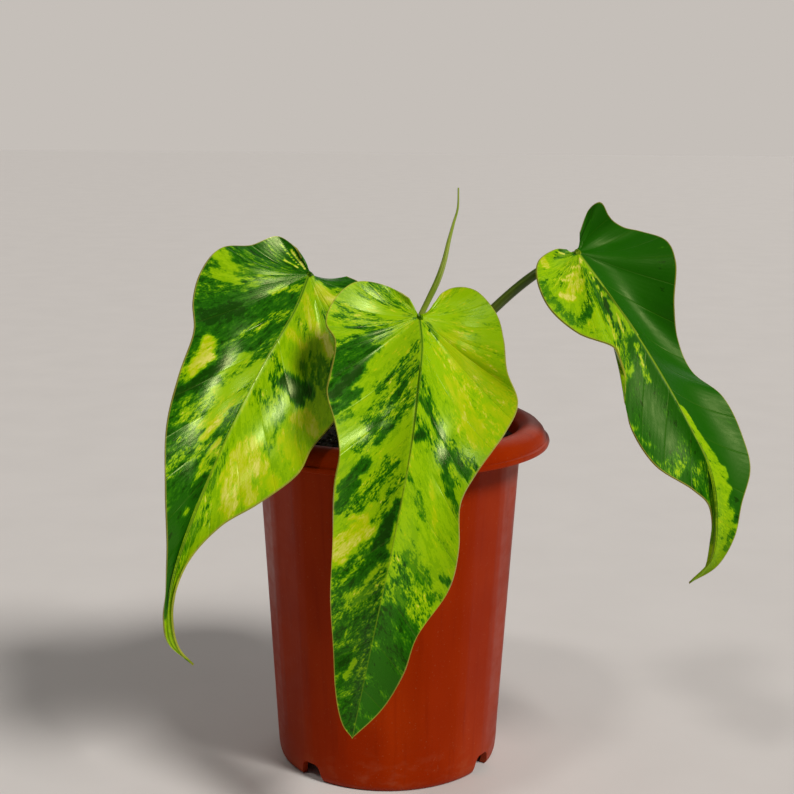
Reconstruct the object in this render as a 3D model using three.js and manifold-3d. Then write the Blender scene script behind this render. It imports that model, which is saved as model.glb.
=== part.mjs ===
// Potted variegated spadeleaf philodendron.
// A panelled nursery pot filled with soil holds one short stem. The stem carries three petioles,
// each with a hanging arrow-shaped blade, and a new leaf that is still rolled into a spike.
// Millimetres, +Z up, +Y to the back. While it is built the pot's axis is the Z axis; at the end
// the whole plant is moved so that the origin is the bottom centre of its bounding box.

import * as THREE from 'three';
import { mergeVertices } from 'three/addons/utils/BufferGeometryUtils.js';
import Module from 'manifold-3d';

const wasm = await Module();
wasm.setup();

// Driving dimensions, mm and degrees

const CLEARANCE = 0.3;
const SLIVER = 0.03;

const POT = {
  wall: 2.0,
  footRadius: 50.9,
  wallStart: { z: 9, radius: 53.1 },
  wallEnd: { z: 158, radius: 62.0 },
  crestHeight: 164,
  panels: 18,
  panelTurn: 8,
  flatStart: 24,
  flatEnd: 150,
  baseUnderside: 9,
  baseTop: 11.2,
};

// Lip over the wall: a broad dome that ends in a skirt with a bead along its lower edge.
const LIP = {
  outside: [
    [60.0, 158.0], [60.1, 160.4], [60.9, 161.9], [62.6, 163.2], [65.0, POT.crestHeight], [67.5, 163.7],
    [70.0, 162.4], [72.1, 160.2], [73.3, 157.6], [73.5, 156.7], [74.7, 156.3], [75.0, 155.3], [74.7, 154.2],
    [74.2, 154.0],
  ],
  inside: [[72.9, 154.0], [72.3, 157.4], [70.6, 160.0], [67.6, 161.6], [64.8, 161.8], [62.7, 160.6]],
};

const NOTCH = { height: 8, floorWidth: 18.4, topWidth: 9, corner: 2.2, angles: [-50, 50, 130, 230] };
const DRAIN = { radius: 4.5, ring: 30, count: 6, sides: 16 };

const SOIL = { edge: 155, crown: 157.2, lump: 0.9, ringRadii: [56, 49, 40, 30, 20, 10] };

const STEM = { x: 0, y: 4, radius: 7, bottom: 110, top: 176, scars: [160, 165.5, 170.5], scarHeight: 0.5 };

const PETIOLE = { baseRadius: 3.7, radius: 2.5, tipRadius: 2.2, flare: 0.16, sides: 12, steps: 20 };

const SPIKE = { baseRadius: 2.2, radius: 1.65, tipRadius: 0.45, seam: 0.22, turns: 0.8, sides: 12, steps: 26 };

const BLADE = {
  thickness: 0.8,
  ridge: 1.5,
  rows: 44,
  fanRows: 18,
  columns: [0, 0.06, 0.3, 0.62, 1],
};

// Routes chosen by hand along each petiole, from the middle of the stem to the notch of its blade.
const PETIOLE_ROUTES = {
  left: [[0, 4, 158], [-6, 5, 162], [-13, 6.5, 172], [-22, 8, 190], [-30, 6, 210], [-35, -1, 225], [-37, -7, 231]],
  middle: [[0, 4, 166], [1, -3, 171], [2, -10, 181], [4, -20, 197], [8, -31, 210.5], [12.7, -41, 217.3]],
  right: [[0, 4, 162], [6, 4.5, 167], [14, 5, 176.5], [28, 6, 194.5], [47, 6, 213.8], [57.5, 6, 223.7],
    [66.6, 6, 231], [74, 6.8, 235.4], [80.5, 6.2, 238], [85, 3.6, 240.4]],
};

const SPIKE_ROUTE = [
  [0, 4.5, 172], [4.5, 5.5, 186], [9.5, 6, 200], [13.8, 6, 210.5], [17.9, 6, 219.4], [22, 6, 228.8],
  [24.8, 6, 237.7], [26.7, 6, 246.5], [28.7, 6, 254.4], [30.6, 6, 261.5], [30.8, 6, 271],
];

// Each blade hangs from its notch. The midrib runs from the notch to the tip, and the two margins run
// from the notch edge of a lobe around the lobe to the same tip. fan is the share of a margin that is
// fed by veins out of the notch; camber is how far a half bulges at the notch, at the waist where the
// fan ends and at the tip, as a share of its width.
const LEAVES = {
  left: {
    midrib: [[-37, -8, 232], [-42, -26, 219], [-55, -50, 197], [-68, -69, 171], [-80, -83, 143],
      [-89, -90, 116], [-92, -90, 98], [-91, -87, 84], [-83, -82, 73]],
    halves: {
      left: {
        fan: 0.38, camber: [0.08, 0.08, 0.08], wave: 1.0, waves: 4, phase: 0.0,
        margin: [[-41, -4, 239.5], [-45.5, 0, 245.5], [-52, 1, 249], [-64, -7, 245], [-77, -22, 244], [-83, -34, 236],
          [-85, -44, 225], [-84, -53, 213], [-89, -65, 196], [-93, -75, 176], [-93, -84, 151],
          [-92, -89, 126], [-93, -90, 109], [-94, -90, 96], [-92.5, -87, 84], [-83, -82, 73]],
      },
      right: {
        fan: 0.36, camber: [0.1, 0.12, 0.12], wave: 1.0, waves: 4, phase: 2.0,
        margin: [[-20, 0, 231], [-14, -5, 228], [-10, -18, 218], [-10, -36, 205], [-15, -52, 187],
          [-24, -63, 175], [-33, -73, 166], [-38, -78, 157], [-54, -84, 145], [-70, -87, 136],
          [-83, -90, 122], [-89, -91, 106], [-90, -89, 91], [-88, -86, 81], [-83, -82, 73]],
      },
    },
  },
  middle: {
    midrib: [[13, -42, 218], [14, -56, 208], [12, -77, 191], [9, -91, 169], [3, -101, 137],
      [-5, -107, 98], [-14, -109, 52]],
    halves: {
      left: {
        fan: 0.36, camber: [0.08, 0.08, 0.08], wave: 1.1, waves: 5, phase: 0.6,
        margin: [[8, -37, 226], [-2, -33, 231], [-15, -37, 232], [-24, -46, 226], [-27, -56, 218],
          [-23, -62, 211], [-25, -70, 198], [-26, -75, 191], [-22, -85, 180], [-20, -91, 169],
          [-22, -93, 156], [-23, -97, 125], [-23, -100, 94], [-21, -103, 72], [-18, -107, 57],
          [-14, -109, 52]],
      },
      right: {
        fan: 0.38, camber: [0.09, 0.09, 0.08], wave: 1.1, waves: 5, phase: 3.4,
        margin: [[19, -37, 223], [27, -33, 229], [37, -34, 229], [46, -43, 221], [49, -53, 210],
          [50, -63, 198], [54, -72, 187], [49, -79, 176], [36, -90, 160], [30, -95, 149],
          [29, -98, 130], [25, -101, 113], [12, -105, 94], [7, -107, 80], [-1, -108, 65],
          [-14, -109, 52]],
      },
    },
  },
  right: {
    midrib: [[86, 2, 242], [96, -10, 229], [108, -24, 212], [121, -38, 191], [132, -49, 171],
      [140, -56, 153], [143, -58, 134], [143, -54, 114], [136, -42, 98]],
    halves: {
      left: {
        fan: 0.42, camber: [0.15, 0.01, 0.08], wave: 0.3, waves: 4, phase: 0.0,
        margin: [[81, 3, 243.2], [77, 1.5, 243.8], [73, -2, 243], [67, -9, 239], [66, -18, 231],
          [71, -30, 220], [83, -38.5, 211], [91, -43, 208.5], [94.5, -44, 207.5], [98, -43.5, 205.5],
          [100, -41, 202], [102, -39.5, 197], [103.5, -40, 192], [103.5, -43, 187.5], [103, -47, 182],
          [105, -56, 172],
          [115, -61, 157], [132, -60, 146], [140, -57, 138], [142, -52, 119], [141, -47, 105],
          [136, -42, 98]],
      },
      right: {
        fan: 0.36, camber: [0.08, 0.08, 0.08], wave: 0.5, waves: 4, phase: 1.6,
        margin: [[87, 6, 251], [91, 8, 261], [96, 6, 265], [100.5, 11, 258.7], [104, 14, 255.2],
          [108.5, 14.5, 252.6], [116, 14, 251],
          [127, 4, 248], [130, -6, 239], [129, -12, 220], [131, -14, 205], [137, -21, 191],
          [149, -30, 181], [157, -38, 165], [160, -45, 152], [155, -52, 137], [152, -54, 123],
          [146, -51, 109], [136, -42, 98]],
      },
    },
  },
};

const FINISH = {
  pot: { color: 0x9c3411, roughness: 0.38 },
  soil: { color: 0x2b2018, roughness: 0.95 },
  stem: { color: 0x4f7a2a, roughness: 0.5 },
  petiole: { color: 0x3d5a26, roughness: 0.45 },
  leaf_left: { color: 0x6f9a2b, roughness: 0.35 },
  leaf_middle: { color: 0x8fb52e, roughness: 0.35 },
  leaf_right: { color: 0x3f7a2a, roughness: 0.35 },
  new_leaf: { color: 0x7fa534, roughness: 0.4 },
};

// Geometry helpers

const vector = (point) => new THREE.Vector3(...point);
const smoothCurve = (points) => new THREE.CatmullRomCurve3(points.map(vector), false, 'centripetal');
const smoothStep = (from, to, value) => THREE.MathUtils.smoothstep(value, from, to);

/** Merges the vertices, drops collapsed triangles and turns the faces of a closed mesh outward. */
function weld(geometry) {
  const bare = geometry.clone();
  bare.deleteAttribute('normal');
  bare.deleteAttribute('uv');
  const merged = mergeVertices(bare, 1e-4);
  const source = merged.index.array;
  const kept = [];
  for (let i = 0; i < source.length; i += 3) {
    const [a, b, c] = source.slice(i, i + 3);
    if (a !== b && b !== c && c !== a) kept.push(a, b, c);
  }
  merged.setIndex(kept);
  if (signedVolume(merged) < 0) {
    for (let i = 0; i < kept.length; i += 3) [kept[i], kept[i + 1]] = [kept[i + 1], kept[i]];
    merged.setIndex(kept);
  }
  return merged;
}

function signedVolume(geometry) {
  const position = geometry.attributes.position;
  const corner = [0, 1, 2].map(() => new THREE.Vector3());
  let volume = 0;
  for (let i = 0; i < geometry.index.count; i += 3) {
    corner.forEach((point, j) => point.fromBufferAttribute(position, geometry.index.getX(i + j)));
    volume += corner[0].dot(corner[1].clone().cross(corner[2])) / 6;
  }
  return volume;
}

function toSolid(geometry) {
  const merged = weld(geometry);
  return new wasm.Manifold(new wasm.Mesh({
    numProp: 3,
    vertProperties: new Float32Array(merged.attributes.position.array),
    triVerts: new Uint32Array(merged.index.array),
  }));
}

function toGeometry(solid) {
  const { vertProperties, triVerts } = solid.getMesh();
  const geometry = new THREE.BufferGeometry();
  geometry.setAttribute('position', new THREE.BufferAttribute(vertProperties, 3));
  geometry.setIndex(Array.from(triVerts));
  return geometry;
}

/** The solid with copies of it shifted by the clearance along each axis, both ways. */
function grown(solid) {
  const shifts = [[1, 0, 0], [0, 1, 0], [0, 0, 1]].map((axis) => axis.map((value) => value * CLEARANCE));
  return shifts.reduce(
    (sum, shift) => sum.add(solid.translate(shift)).add(solid.translate(shift.map((value) => -value))),
    solid,
  );
}

/** What is left of a piece once its seats are cut out of it, without slivers or loose crumbs. */
function cutBack(geometry, cutters) {
  const solid = cutters.reduce((rest, cutter) => rest.subtract(cutter), toSolid(geometry));
  const pieces = solid.simplify(SLIVER).decompose();
  return toGeometry(pieces.reduce((best, piece) => (piece.volume() > best.volume() ? piece : best)));
}

/** Revolves a profile of [radius, height] points about the Z axis; angle 0 faces -Y. */
function revolve(profile, segments, startDegrees = 0) {
  const points = profile.map(([radius, height]) => new THREE.Vector2(radius, height));
  const geometry = new THREE.LatheGeometry(points, segments, THREE.MathUtils.degToRad(startDegrees));
  return weld(geometry.rotateX(Math.PI / 2));
}

/** Closed tube along a curve whose radius follows its length and the angle around it. */
function sweep(route, steps, sides, radiusAt) {
  const curve = smoothCurve(route);
  const { normals, binormals } = curve.computeFrenetFrames(steps);
  const vertices = [];
  for (let step = 0; step <= steps; step += 1) {
    const along = step / steps;
    const centre = curve.getPointAt(along);
    for (let side = 0; side < sides; side += 1) {
      const angle = (side / sides) * 2 * Math.PI;
      const radius = radiusAt(along, angle);
      const point = centre.clone()
        .addScaledVector(normals[step], radius * Math.cos(angle))
        .addScaledVector(binormals[step], radius * Math.sin(angle));
      vertices.push(point);
    }
  }
  const start = vertices.push(curve.getPointAt(0)) - 1;
  const end = vertices.push(curve.getPointAt(1)) - 1;
  const faces = [];
  for (let side = 0; side < sides; side += 1) {
    const next = (side + 1) % sides;
    for (let step = 0; step < steps; step += 1) {
      const [a, b] = [step * sides + side, step * sides + next];
      faces.push(a, b, b + sides, a, b + sides, a + sides);
    }
    faces.push(start, next, side, end, steps * sides + side, steps * sides + next);
  }
  return indexed(vertices, faces);
}

function indexed(vertices, faces) {
  const geometry = new THREE.BufferGeometry().setFromPoints(vertices);
  geometry.setIndex(faces);
  return weld(geometry);
}

// Pot and soil

/** How flat the wall's panels are at a height: round at the foot and at the lip. */
function panelDepth(z) {
  const rise = (z - POT.wallStart.z) / (POT.flatStart - POT.wallStart.z);
  const fall = (POT.wallEnd.z - z) / (POT.wallEnd.z - POT.flatEnd);
  return THREE.MathUtils.clamp(Math.min(rise, fall), 0, 1);
}

/** Pulls the round wall in to flat panels with narrow soft borders; 4 segments make one panel. */
function panelled(geometry, from, to) {
  const panel = 360 / POT.panels;
  const halfFlat = THREE.MathUtils.degToRad(panel * 0.375);
  const position = geometry.attributes.position;
  for (let i = 0; i < position.count; i += 1) {
    const [x, y, z] = [position.getX(i), position.getY(i), position.getZ(i)];
    const radius = Math.hypot(x, y);
    if (z < from || z > to || radius < POT.footRadius - POT.wall) continue;
    const degrees = THREE.MathUtils.radToDeg(Math.atan2(x, -y)) - POT.panelTurn;
    const local = THREE.MathUtils.degToRad(degrees - panel * Math.round(degrees / panel));
    const flat = Math.cos(halfFlat) / Math.cos(Math.min(Math.abs(local), halfFlat));
    const scale = 1 + panelDepth(z) * (flat - 1);
    position.setXY(i, x * scale, y * scale);
  }
  return geometry;
}

const wallRadius = (z) => THREE.MathUtils.mapLinear(
  z, POT.wallStart.z, POT.wallEnd.z, POT.wallStart.radius, POT.wallEnd.radius,
);
const boreRadius = (z) => wallRadius(z) - POT.wall;
const potSegments = POT.panels * 4;
const potStart = POT.panelTurn + 360 / potSegments / 2;

function potShell() {
  const foot = [[POT.footRadius - 2.4, 0], [POT.footRadius, 0], [51.9, 0.9], [52.5, 2.8], [52.9, 6]];
  const wallHeights = [POT.wallStart.z, POT.flatStart, POT.flatEnd, POT.wallEnd.z];
  const outerWall = wallHeights.map((z) => [wallRadius(z), z]);
  const bore = [POT.baseTop, POT.flatStart, POT.flatEnd].map((z) => [boreRadius(z), z]);
  const profile = [
    [0, POT.baseUnderside],
    [boreRadius(POT.baseUnderside) - 0.3, POT.baseUnderside],
    ...foot,
    ...outerWall,
    ...[...LIP.inside].reverse(),
    ...[...LIP.outside].reverse(),
    ...bore.reverse(),
    [0, POT.baseTop],
  ];
  return panelled(revolve(profile, potSegments, potStart), POT.baseUnderside, POT.wallEnd.z);
}

/** Drain notch: a slope-sided arch through the foot, facing -Y before it is turned. */
function notchCutter() {
  const { height, floorWidth, topWidth, corner } = NOTCH;
  const arch = new THREE.Shape();
  arch.moveTo(-floorWidth / 2, -1);
  arch.lineTo(floorWidth / 2, -1);
  arch.lineTo(floorWidth / 2, 0);
  arch.lineTo(topWidth / 2 + corner * 0.6, height - corner);
  arch.quadraticCurveTo(topWidth / 2, height, topWidth / 2 - corner, height);
  arch.lineTo(-topWidth / 2 + corner, height);
  arch.quadraticCurveTo(-topWidth / 2, height, -topWidth / 2 - corner * 0.6, height - corner);
  arch.lineTo(-floorWidth / 2, 0);
  const depth = 16;
  const geometry = new THREE.ExtrudeGeometry(arch, { depth, bevelEnabled: false, curveSegments: 4 });
  return geometry.rotateX(Math.PI / 2).translate(0, -POT.footRadius + depth - 4, 0);
}

function drainCutter(x, y) {
  const height = 3 * (POT.baseTop - POT.baseUnderside);
  const middle = (POT.baseTop + POT.baseUnderside) / 2;
  const cylinder = new THREE.CylinderGeometry(DRAIN.radius, DRAIN.radius, height, DRAIN.sides);
  return cylinder.rotateX(Math.PI / 2).translate(x, y, middle);
}

function potGeometry() {
  const notches = NOTCH.angles.map((angle) => {
    const turn = THREE.MathUtils.degToRad(POT.panelTurn + angle);
    return notchCutter().rotateZ(turn);
  });
  const drains = Array.from({ length: DRAIN.count }, (_, i) => {
    const turn = (i / DRAIN.count) * 2 * Math.PI;
    return drainCutter(DRAIN.ring * Math.cos(turn), DRAIN.ring * Math.sin(turn));
  });
  return cutBack(potShell(), [...notches, ...drains, drainCutter(0, 0)].map(toSolid));
}

/** A repeatable uneven height for a place on the soil, from -1 to 1. */
function unevenness(x, y) {
  return 0.5 * Math.sin(0.21 * x + 1.3) * Math.cos(0.17 * y) + 0.5 * Math.sin(0.43 * x - 0.36 * y + 0.8);
}

function soilGeometry() {
  const fill = (z) => boreRadius(z) - CLEARANCE;
  const bottom = POT.baseTop + CLEARANCE;
  const rise = (radius) => THREE.MathUtils.lerp(SOIL.crown, SOIL.edge, (radius / SOIL.ringRadii[0]) ** 2);
  const profile = [
    [0, bottom],
    [fill(bottom), bottom],
    [fill(POT.flatStart), POT.flatStart],
    [fill(POT.flatEnd), POT.flatEnd],
    [fill(SOIL.edge), SOIL.edge],
    ...SOIL.ringRadii.map((radius) => [radius, rise(radius)]),
    [0, SOIL.crown],
  ];
  const mass = panelled(revolve(profile, potSegments, potStart), bottom, SOIL.edge);
  const position = mass.attributes.position;
  for (let i = 0; i < position.count; i += 1) {
    const [x, y, z] = [position.getX(i), position.getY(i), position.getZ(i)];
    const radius = Math.hypot(x, y);
    const loose = z >= SOIL.edge - 1 && radius <= SOIL.ringRadii[0] + 1;
    if (loose) position.setZ(i, z + SOIL.lump * unevenness(x, y));
  }
  const holeRadius = STEM.radius + CLEARANCE;
  const hole = revolve(
    [[0, STEM.bottom - CLEARANCE], [holeRadius, STEM.bottom - CLEARANCE], [holeRadius, STEM.top], [0, STEM.top]],
    24,
  ).translate(STEM.x, STEM.y, 0);
  return cutBack(mass, [toSolid(hole)]);
}

// Stem, petioles and new leaf

function stemGeometry() {
  const scarRings = STEM.scars.flatMap((z) => [
    [STEM.radius - 0.2, z - 1], [STEM.radius + STEM.scarHeight, z], [STEM.radius - 0.3, z + 1],
  ]);
  const profile = [
    [0, STEM.bottom], [STEM.radius - 1, STEM.bottom], [STEM.radius, STEM.bottom + 4], [STEM.radius, SOIL.edge],
    ...scarRings,
    [STEM.radius - 1, STEM.top - 2.4], [STEM.radius - 2.8, STEM.top - 0.6], [0, STEM.top],
  ];
  return revolve(profile, 24).translate(STEM.x, STEM.y, 0);
}

function petioleGeometry(route) {
  const radiusAt = (along) => {
    const base = (PETIOLE.baseRadius - PETIOLE.radius) * (1 - smoothStep(0, 2 * PETIOLE.flare, along));
    return THREE.MathUtils.lerp(PETIOLE.radius, PETIOLE.tipRadius, along) + base;
  };
  return sweep(route, PETIOLE.steps, PETIOLE.sides, radiusAt);
}

/** The rolled leaf: a tapering spindle whose free edge makes a small step that winds around it. */
function spikeGeometry() {
  const radiusAt = (along, angle) => {
    const body = THREE.MathUtils.lerp(SPIKE.baseRadius, SPIKE.radius, smoothStep(0, 0.45, along));
    const taper = THREE.MathUtils.lerp(body, SPIKE.tipRadius, smoothStep(0.5, 1, along));
    const wound = (angle / (2 * Math.PI) + SPIKE.turns * along) % 1;
    return taper * (1 - SPIKE.seam * wound);
  };
  return sweep(SPIKE_ROUTE, SPIKE.steps, SPIKE.sides, radiusAt);
}

// Blades

/** Share of the midrib reached by a row: the fan rows all start at the notch. */
const midribShare = (row) => Math.max(0, (row - BLADE.fanRows) / (BLADE.rows - BLADE.fanRows));

/** Share of a margin reached by a row: the fan rows take the lobe, the others the rest. */
function marginShare(row, fan) {
  if (row <= BLADE.fanRows) return fan * (row / BLADE.fanRows);
  return fan + (1 - fan) * midribShare(row);
}

/** Bulge of a half at a share of its margin, from the lobe past the waist to the tip. */
function camberAt(half, reach) {
  const [lobe, waist, tip] = half.camber;
  if (reach < half.fan) return THREE.MathUtils.mapLinear(reach, 0, half.fan, lobe, waist);
  return THREE.MathUtils.mapLinear(reach, half.fan, 1, waist, tip);
}

/** Points of one half blade, row by row from the notch edge to the tip, from midrib to margin. */
function halfRows(leaf, side) {
  const half = leaf.halves[side];
  const facing = side === 'left' ? 1 : -1;
  const midrib = smoothCurve(leaf.midrib);
  const margin = smoothCurve(half.margin);
  return Array.from({ length: BLADE.rows + 1 }, (_, row) => {
    const reach = marginShare(row, half.fan);
    const inner = midrib.getPointAt(midribShare(row));
    const outer = margin.getPointAt(reach);
    const across = outer.clone().sub(inner);
    const width = across.length();
    const forward = margin.getTangentAt(reach);
    if (row > BLADE.fanRows) forward.add(midrib.getTangentAt(midribShare(row)));
    const up = forward.cross(across).multiplyScalar(facing).normalize();
    const ripple = half.wave * Math.sin(2 * Math.PI * half.waves * reach + half.phase);
    const calm = smoothStep(0, 18, width);
    return BLADE.columns.map((share) => {
      const lift = camberAt(half, reach) * width * Math.sin(Math.PI * share) + ripple * calm * share ** 2;
      return inner.clone().lerp(outer, share).addScaledVector(up, lift);
    });
  });
}

/** Mid-surface of a blade with, for each vertex, how far the underside lies below it. */
function bladeSurface(leaf) {
  const under = (row, column) => {
    const rib = column === 0 ? BLADE.ridge * (1 - midribShare(row)) : 0;
    return BLADE.thickness / 2 + rib;
  };
  const position = [];
  const depth = [];
  for (const side of ['left', 'right']) {
    const rows = halfRows(leaf, side);
    const push = (row, column) => {
      position.push(...rows[row][column].toArray());
      depth.push(under(row, column));
    };
    for (let row = 0; row < BLADE.rows; row += 1) {
      for (let column = 0; column < BLADE.columns.length - 1; column += 1) {
        const corners = [[row, column], [row, column + 1], [row + 1, column + 1], [row + 1, column]];
        const order = side === 'left' ? [0, 2, 1, 0, 3, 2] : [0, 1, 2, 0, 2, 3];
        order.forEach((corner) => push(...corners[corner]));
      }
    }
  }
  const surface = new THREE.BufferGeometry();
  surface.setAttribute('position', new THREE.Float32BufferAttribute(position, 3));
  surface.setAttribute('depth', new THREE.Float32BufferAttribute(depth, 1));
  const merged = mergeVertices(surface, 1e-4);
  const kept = [];
  for (let i = 0; i < merged.index.count; i += 3) {
    const [a, b, c] = merged.index.array.slice(i, i + 3);
    if (a !== b && b !== c && c !== a) kept.push(a, b, c);
  }
  merged.setIndex(kept);
  merged.computeVertexNormals();
  return merged;
}

/** Closed blade: both faces share one triangulation and are joined along the open edges. */
function bladeGeometry(leaf) {
  const surface = bladeSurface(leaf);
  const { position, normal, depth } = surface.attributes;
  const count = position.count;
  const top = [];
  const bottom = [];
  for (let i = 0; i < count; i += 1) {
    const point = new THREE.Vector3().fromBufferAttribute(position, i);
    const up = new THREE.Vector3().fromBufferAttribute(normal, i);
    top.push(point.clone().addScaledVector(up, BLADE.thickness / 2));
    bottom.push(point.clone().addScaledVector(up, -depth.getX(i)));
  }
  const faces = [];
  const edges = new Map();
  for (let i = 0; i < surface.index.count; i += 3) {
    const corner = Array.from(surface.index.array.slice(i, i + 3));
    faces.push(...corner, corner[0] + count, corner[2] + count, corner[1] + count);
    corner.forEach((from, j) => edges.set(`${from} ${corner[(j + 1) % 3]}`, [from, corner[(j + 1) % 3]]));
  }
  for (const [from, to] of edges.values()) {
    if (edges.has(`${to} ${from}`)) continue;
    faces.push(from, from + count, to + count, from, to + count, to);
  }
  return indexed([...top, ...bottom], faces);
}

// Assembly

function part(name, geometry, finish) {
  const material = new THREE.MeshStandardMaterial({ ...finish, metalness: 0, name });
  const mesh = new THREE.Mesh(geometry, material);
  mesh.name = name;
  return mesh;
}

const plant = new THREE.Group();
const stem = stemGeometry();
const stemSeat = grown(toSolid(stem));

plant.add(part('pot', potGeometry(), FINISH.pot));
plant.add(part('soil', soilGeometry(), FINISH.soil));
plant.add(part('stem', stem, FINISH.stem));

for (const [side, leaf] of Object.entries(LEAVES)) {
  const blade = bladeGeometry(leaf);
  const route = PETIOLE_ROUTES[side];
  const petiole = cutBack(petioleGeometry(route), [stemSeat, grown(toSolid(blade))]);
  plant.add(part(`petiole_${side}`, petiole, FINISH.petiole));
  plant.add(part(`leaf_${side}`, blade, FINISH[`leaf_${side}`]));
}

plant.add(part('new_leaf', cutBack(spikeGeometry(), [stemSeat]), FINISH.new_leaf));

const box = new THREE.Box3().setFromObject(plant);
const centre = box.getCenter(new THREE.Vector3());
plant.position.set(-centre.x, -centre.y, -box.min.z);

export default plant;
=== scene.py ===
"""Potted variegated spadeleaf philodendron: the dressed model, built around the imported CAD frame.

Sizes are in mm and places are measured from the foot of the pot's axis, unless a name or a comment says
otherwise. Only at() turns them to the shared frame in metres.
"""

import logging
import math
from dataclasses import dataclass
from enum import Enum
from itertools import pairwise
from typing import Callable, Sequence

import bpy
import numpy as np
from mathutils import Matrix, Vector, noise


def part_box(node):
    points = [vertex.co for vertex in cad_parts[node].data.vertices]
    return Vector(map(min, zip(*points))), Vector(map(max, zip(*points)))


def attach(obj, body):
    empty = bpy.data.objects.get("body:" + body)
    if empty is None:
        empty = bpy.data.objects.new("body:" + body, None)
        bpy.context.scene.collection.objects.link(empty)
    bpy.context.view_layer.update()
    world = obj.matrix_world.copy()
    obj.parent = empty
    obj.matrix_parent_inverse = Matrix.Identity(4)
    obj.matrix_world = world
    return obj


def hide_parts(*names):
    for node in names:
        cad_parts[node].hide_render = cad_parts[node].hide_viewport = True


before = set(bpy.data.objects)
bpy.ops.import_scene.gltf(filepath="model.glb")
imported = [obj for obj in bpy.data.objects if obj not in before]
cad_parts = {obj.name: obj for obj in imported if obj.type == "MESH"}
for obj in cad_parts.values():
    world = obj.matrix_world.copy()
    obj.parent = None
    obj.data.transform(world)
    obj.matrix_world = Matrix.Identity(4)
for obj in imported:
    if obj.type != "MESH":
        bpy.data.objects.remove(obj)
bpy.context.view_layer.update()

LOG = logging.getLogger("philodendron")
MM = 0.001
POT_LOW, POT_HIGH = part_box("pot")
AXIS = np.array([(POT_LOW[0] + POT_HIGH[0]) / 2, (POT_LOW[1] + POT_HIGH[1]) / 2, 0.0])
Point = tuple[float, float, float]


class Side(Enum):
    """Which of the three leaves a piece belongs to, seen from the front."""

    LEFT = "left"
    MIDDLE = "middle"
    RIGHT = "right"


# Small helpers: points, curves and selections


def at(points: Sequence[Point] | np.ndarray) -> np.ndarray:
    """Moves points from the pot's own axis, in mm, to the shared frame, in metres.

    Args:
        points: Points measured from the foot of the pot's axis, in mm.

    Returns:
        The same points in the shared frame, in metres.
    """
    return np.asarray(points, float) * MM + AXIS


def smoothstep(low: float, high: float, value: np.ndarray) -> np.ndarray:
    """Eases from 0 at low to 1 at high.

    Args:
        low: Value where the result leaves 0.
        high: Value where the result reaches 1.
        value: Values to ease.

    Returns:
        The eased share of each value.
    """
    share = np.clip((np.asarray(value, float) - low) / (high - low), 0.0, 1.0)
    return share * share * (3 - 2 * share)


def along_curve(points: Sequence[Point], shares: np.ndarray) -> np.ndarray:
    """Points at shares of the length of a centripetal Catmull-Rom curve.

    Args:
        points: Points that the curve passes through, in mm.
        shares: Shares of the curve's length, 0 to 1.

    Returns:
        One point for each share, in mm.
    """
    knots = np.array(points, float)
    full = np.vstack([2 * knots[0] - knots[1], knots, 2 * knots[-1] - knots[-2]])
    step = np.linspace(0, 1, 64, endpoint=False)[:, None]
    runs = []
    for a, b, c, d in zip(full, full[1:], full[2:], full[3:]):
        legs = ((a, b), (b, c), (c, d))
        before, here, after = (max(np.sum((q - p) ** 2) ** 0.25, 1e-4) for p, q in legs)
        leave = ((b - a) / before - (c - a) / (before + here) + (c - b) / here) * here
        reach = ((c - b) / here - (d - b) / (here + after) + (d - c) / after) * here
        square = (-3 * b + 3 * c - 2 * leave - reach) * step**2
        runs.append(b + leave * step + square + (2 * b - 2 * c + leave + reach) * step**3)
    line = np.vstack([*runs, knots[-1:]])
    gone = np.concatenate([[0.0], np.cumsum(np.linalg.norm(np.diff(line, axis=0), axis=1))])
    reach_mm = np.clip(shares, 0, 1) * gone[-1]
    return np.stack([np.interp(reach_mm, gone, line[:, k]) for k in range(3)], axis=-1)


def unit(vectors: np.ndarray) -> np.ndarray:
    """Vectors scaled to length 1."""
    return vectors / (np.linalg.norm(vectors, axis=-1, keepdims=True) + 1e-12)


def deselect() -> None:
    """Leaves edit mode and deselects every object."""
    if bpy.context.object and bpy.context.object.mode != "OBJECT":
        bpy.ops.object.mode_set(mode="OBJECT")
    bpy.ops.object.select_all(action="DESELECT")


def only(piece: bpy.types.Object) -> None:
    """Makes one object the only selected and active one.

    Args:
        piece: Object to select.
    """
    deselect()
    piece.select_set(True)
    bpy.context.view_layer.objects.active = piece


def named(name: str) -> bpy.types.Object:
    """Names the object just added, with its place moved into its mesh.

    Args:
        name: The piece's plain name.

    Returns:
        The active object.
    """
    piece = bpy.context.object
    piece.name = name
    piece.data.name = name
    bpy.ops.object.transform_apply(location=True, rotation=True, scale=True)
    return piece


def places(piece: bpy.types.Object) -> np.ndarray:
    """Reads where a mesh's vertices are.

    Args:
        piece: Mesh object.

    Returns:
        The place of each vertex, in metres.
    """
    flat = np.empty(len(piece.data.vertices) * 3)
    piece.data.vertices.foreach_get("co", flat)
    return flat.reshape(-1, 3)


def place(piece: bpy.types.Object, points: np.ndarray) -> None:
    """Moves a mesh's vertices to new places.

    Args:
        piece: Mesh object to move.
        points: One place for each vertex, in metres.
    """
    piece.data.vertices.foreach_set("co", np.asarray(points, float).ravel())
    piece.data.update()


def normals(piece: bpy.types.Object) -> np.ndarray:
    """Reads which way a mesh's vertices face.

    Args:
        piece: Mesh object.

    Returns:
        The normal at each vertex.
    """
    flat = np.empty(len(piece.data.vertices) * 3)
    piece.data.vertex_normals.foreach_get("vector", flat)
    return flat.reshape(-1, 3)


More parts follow.
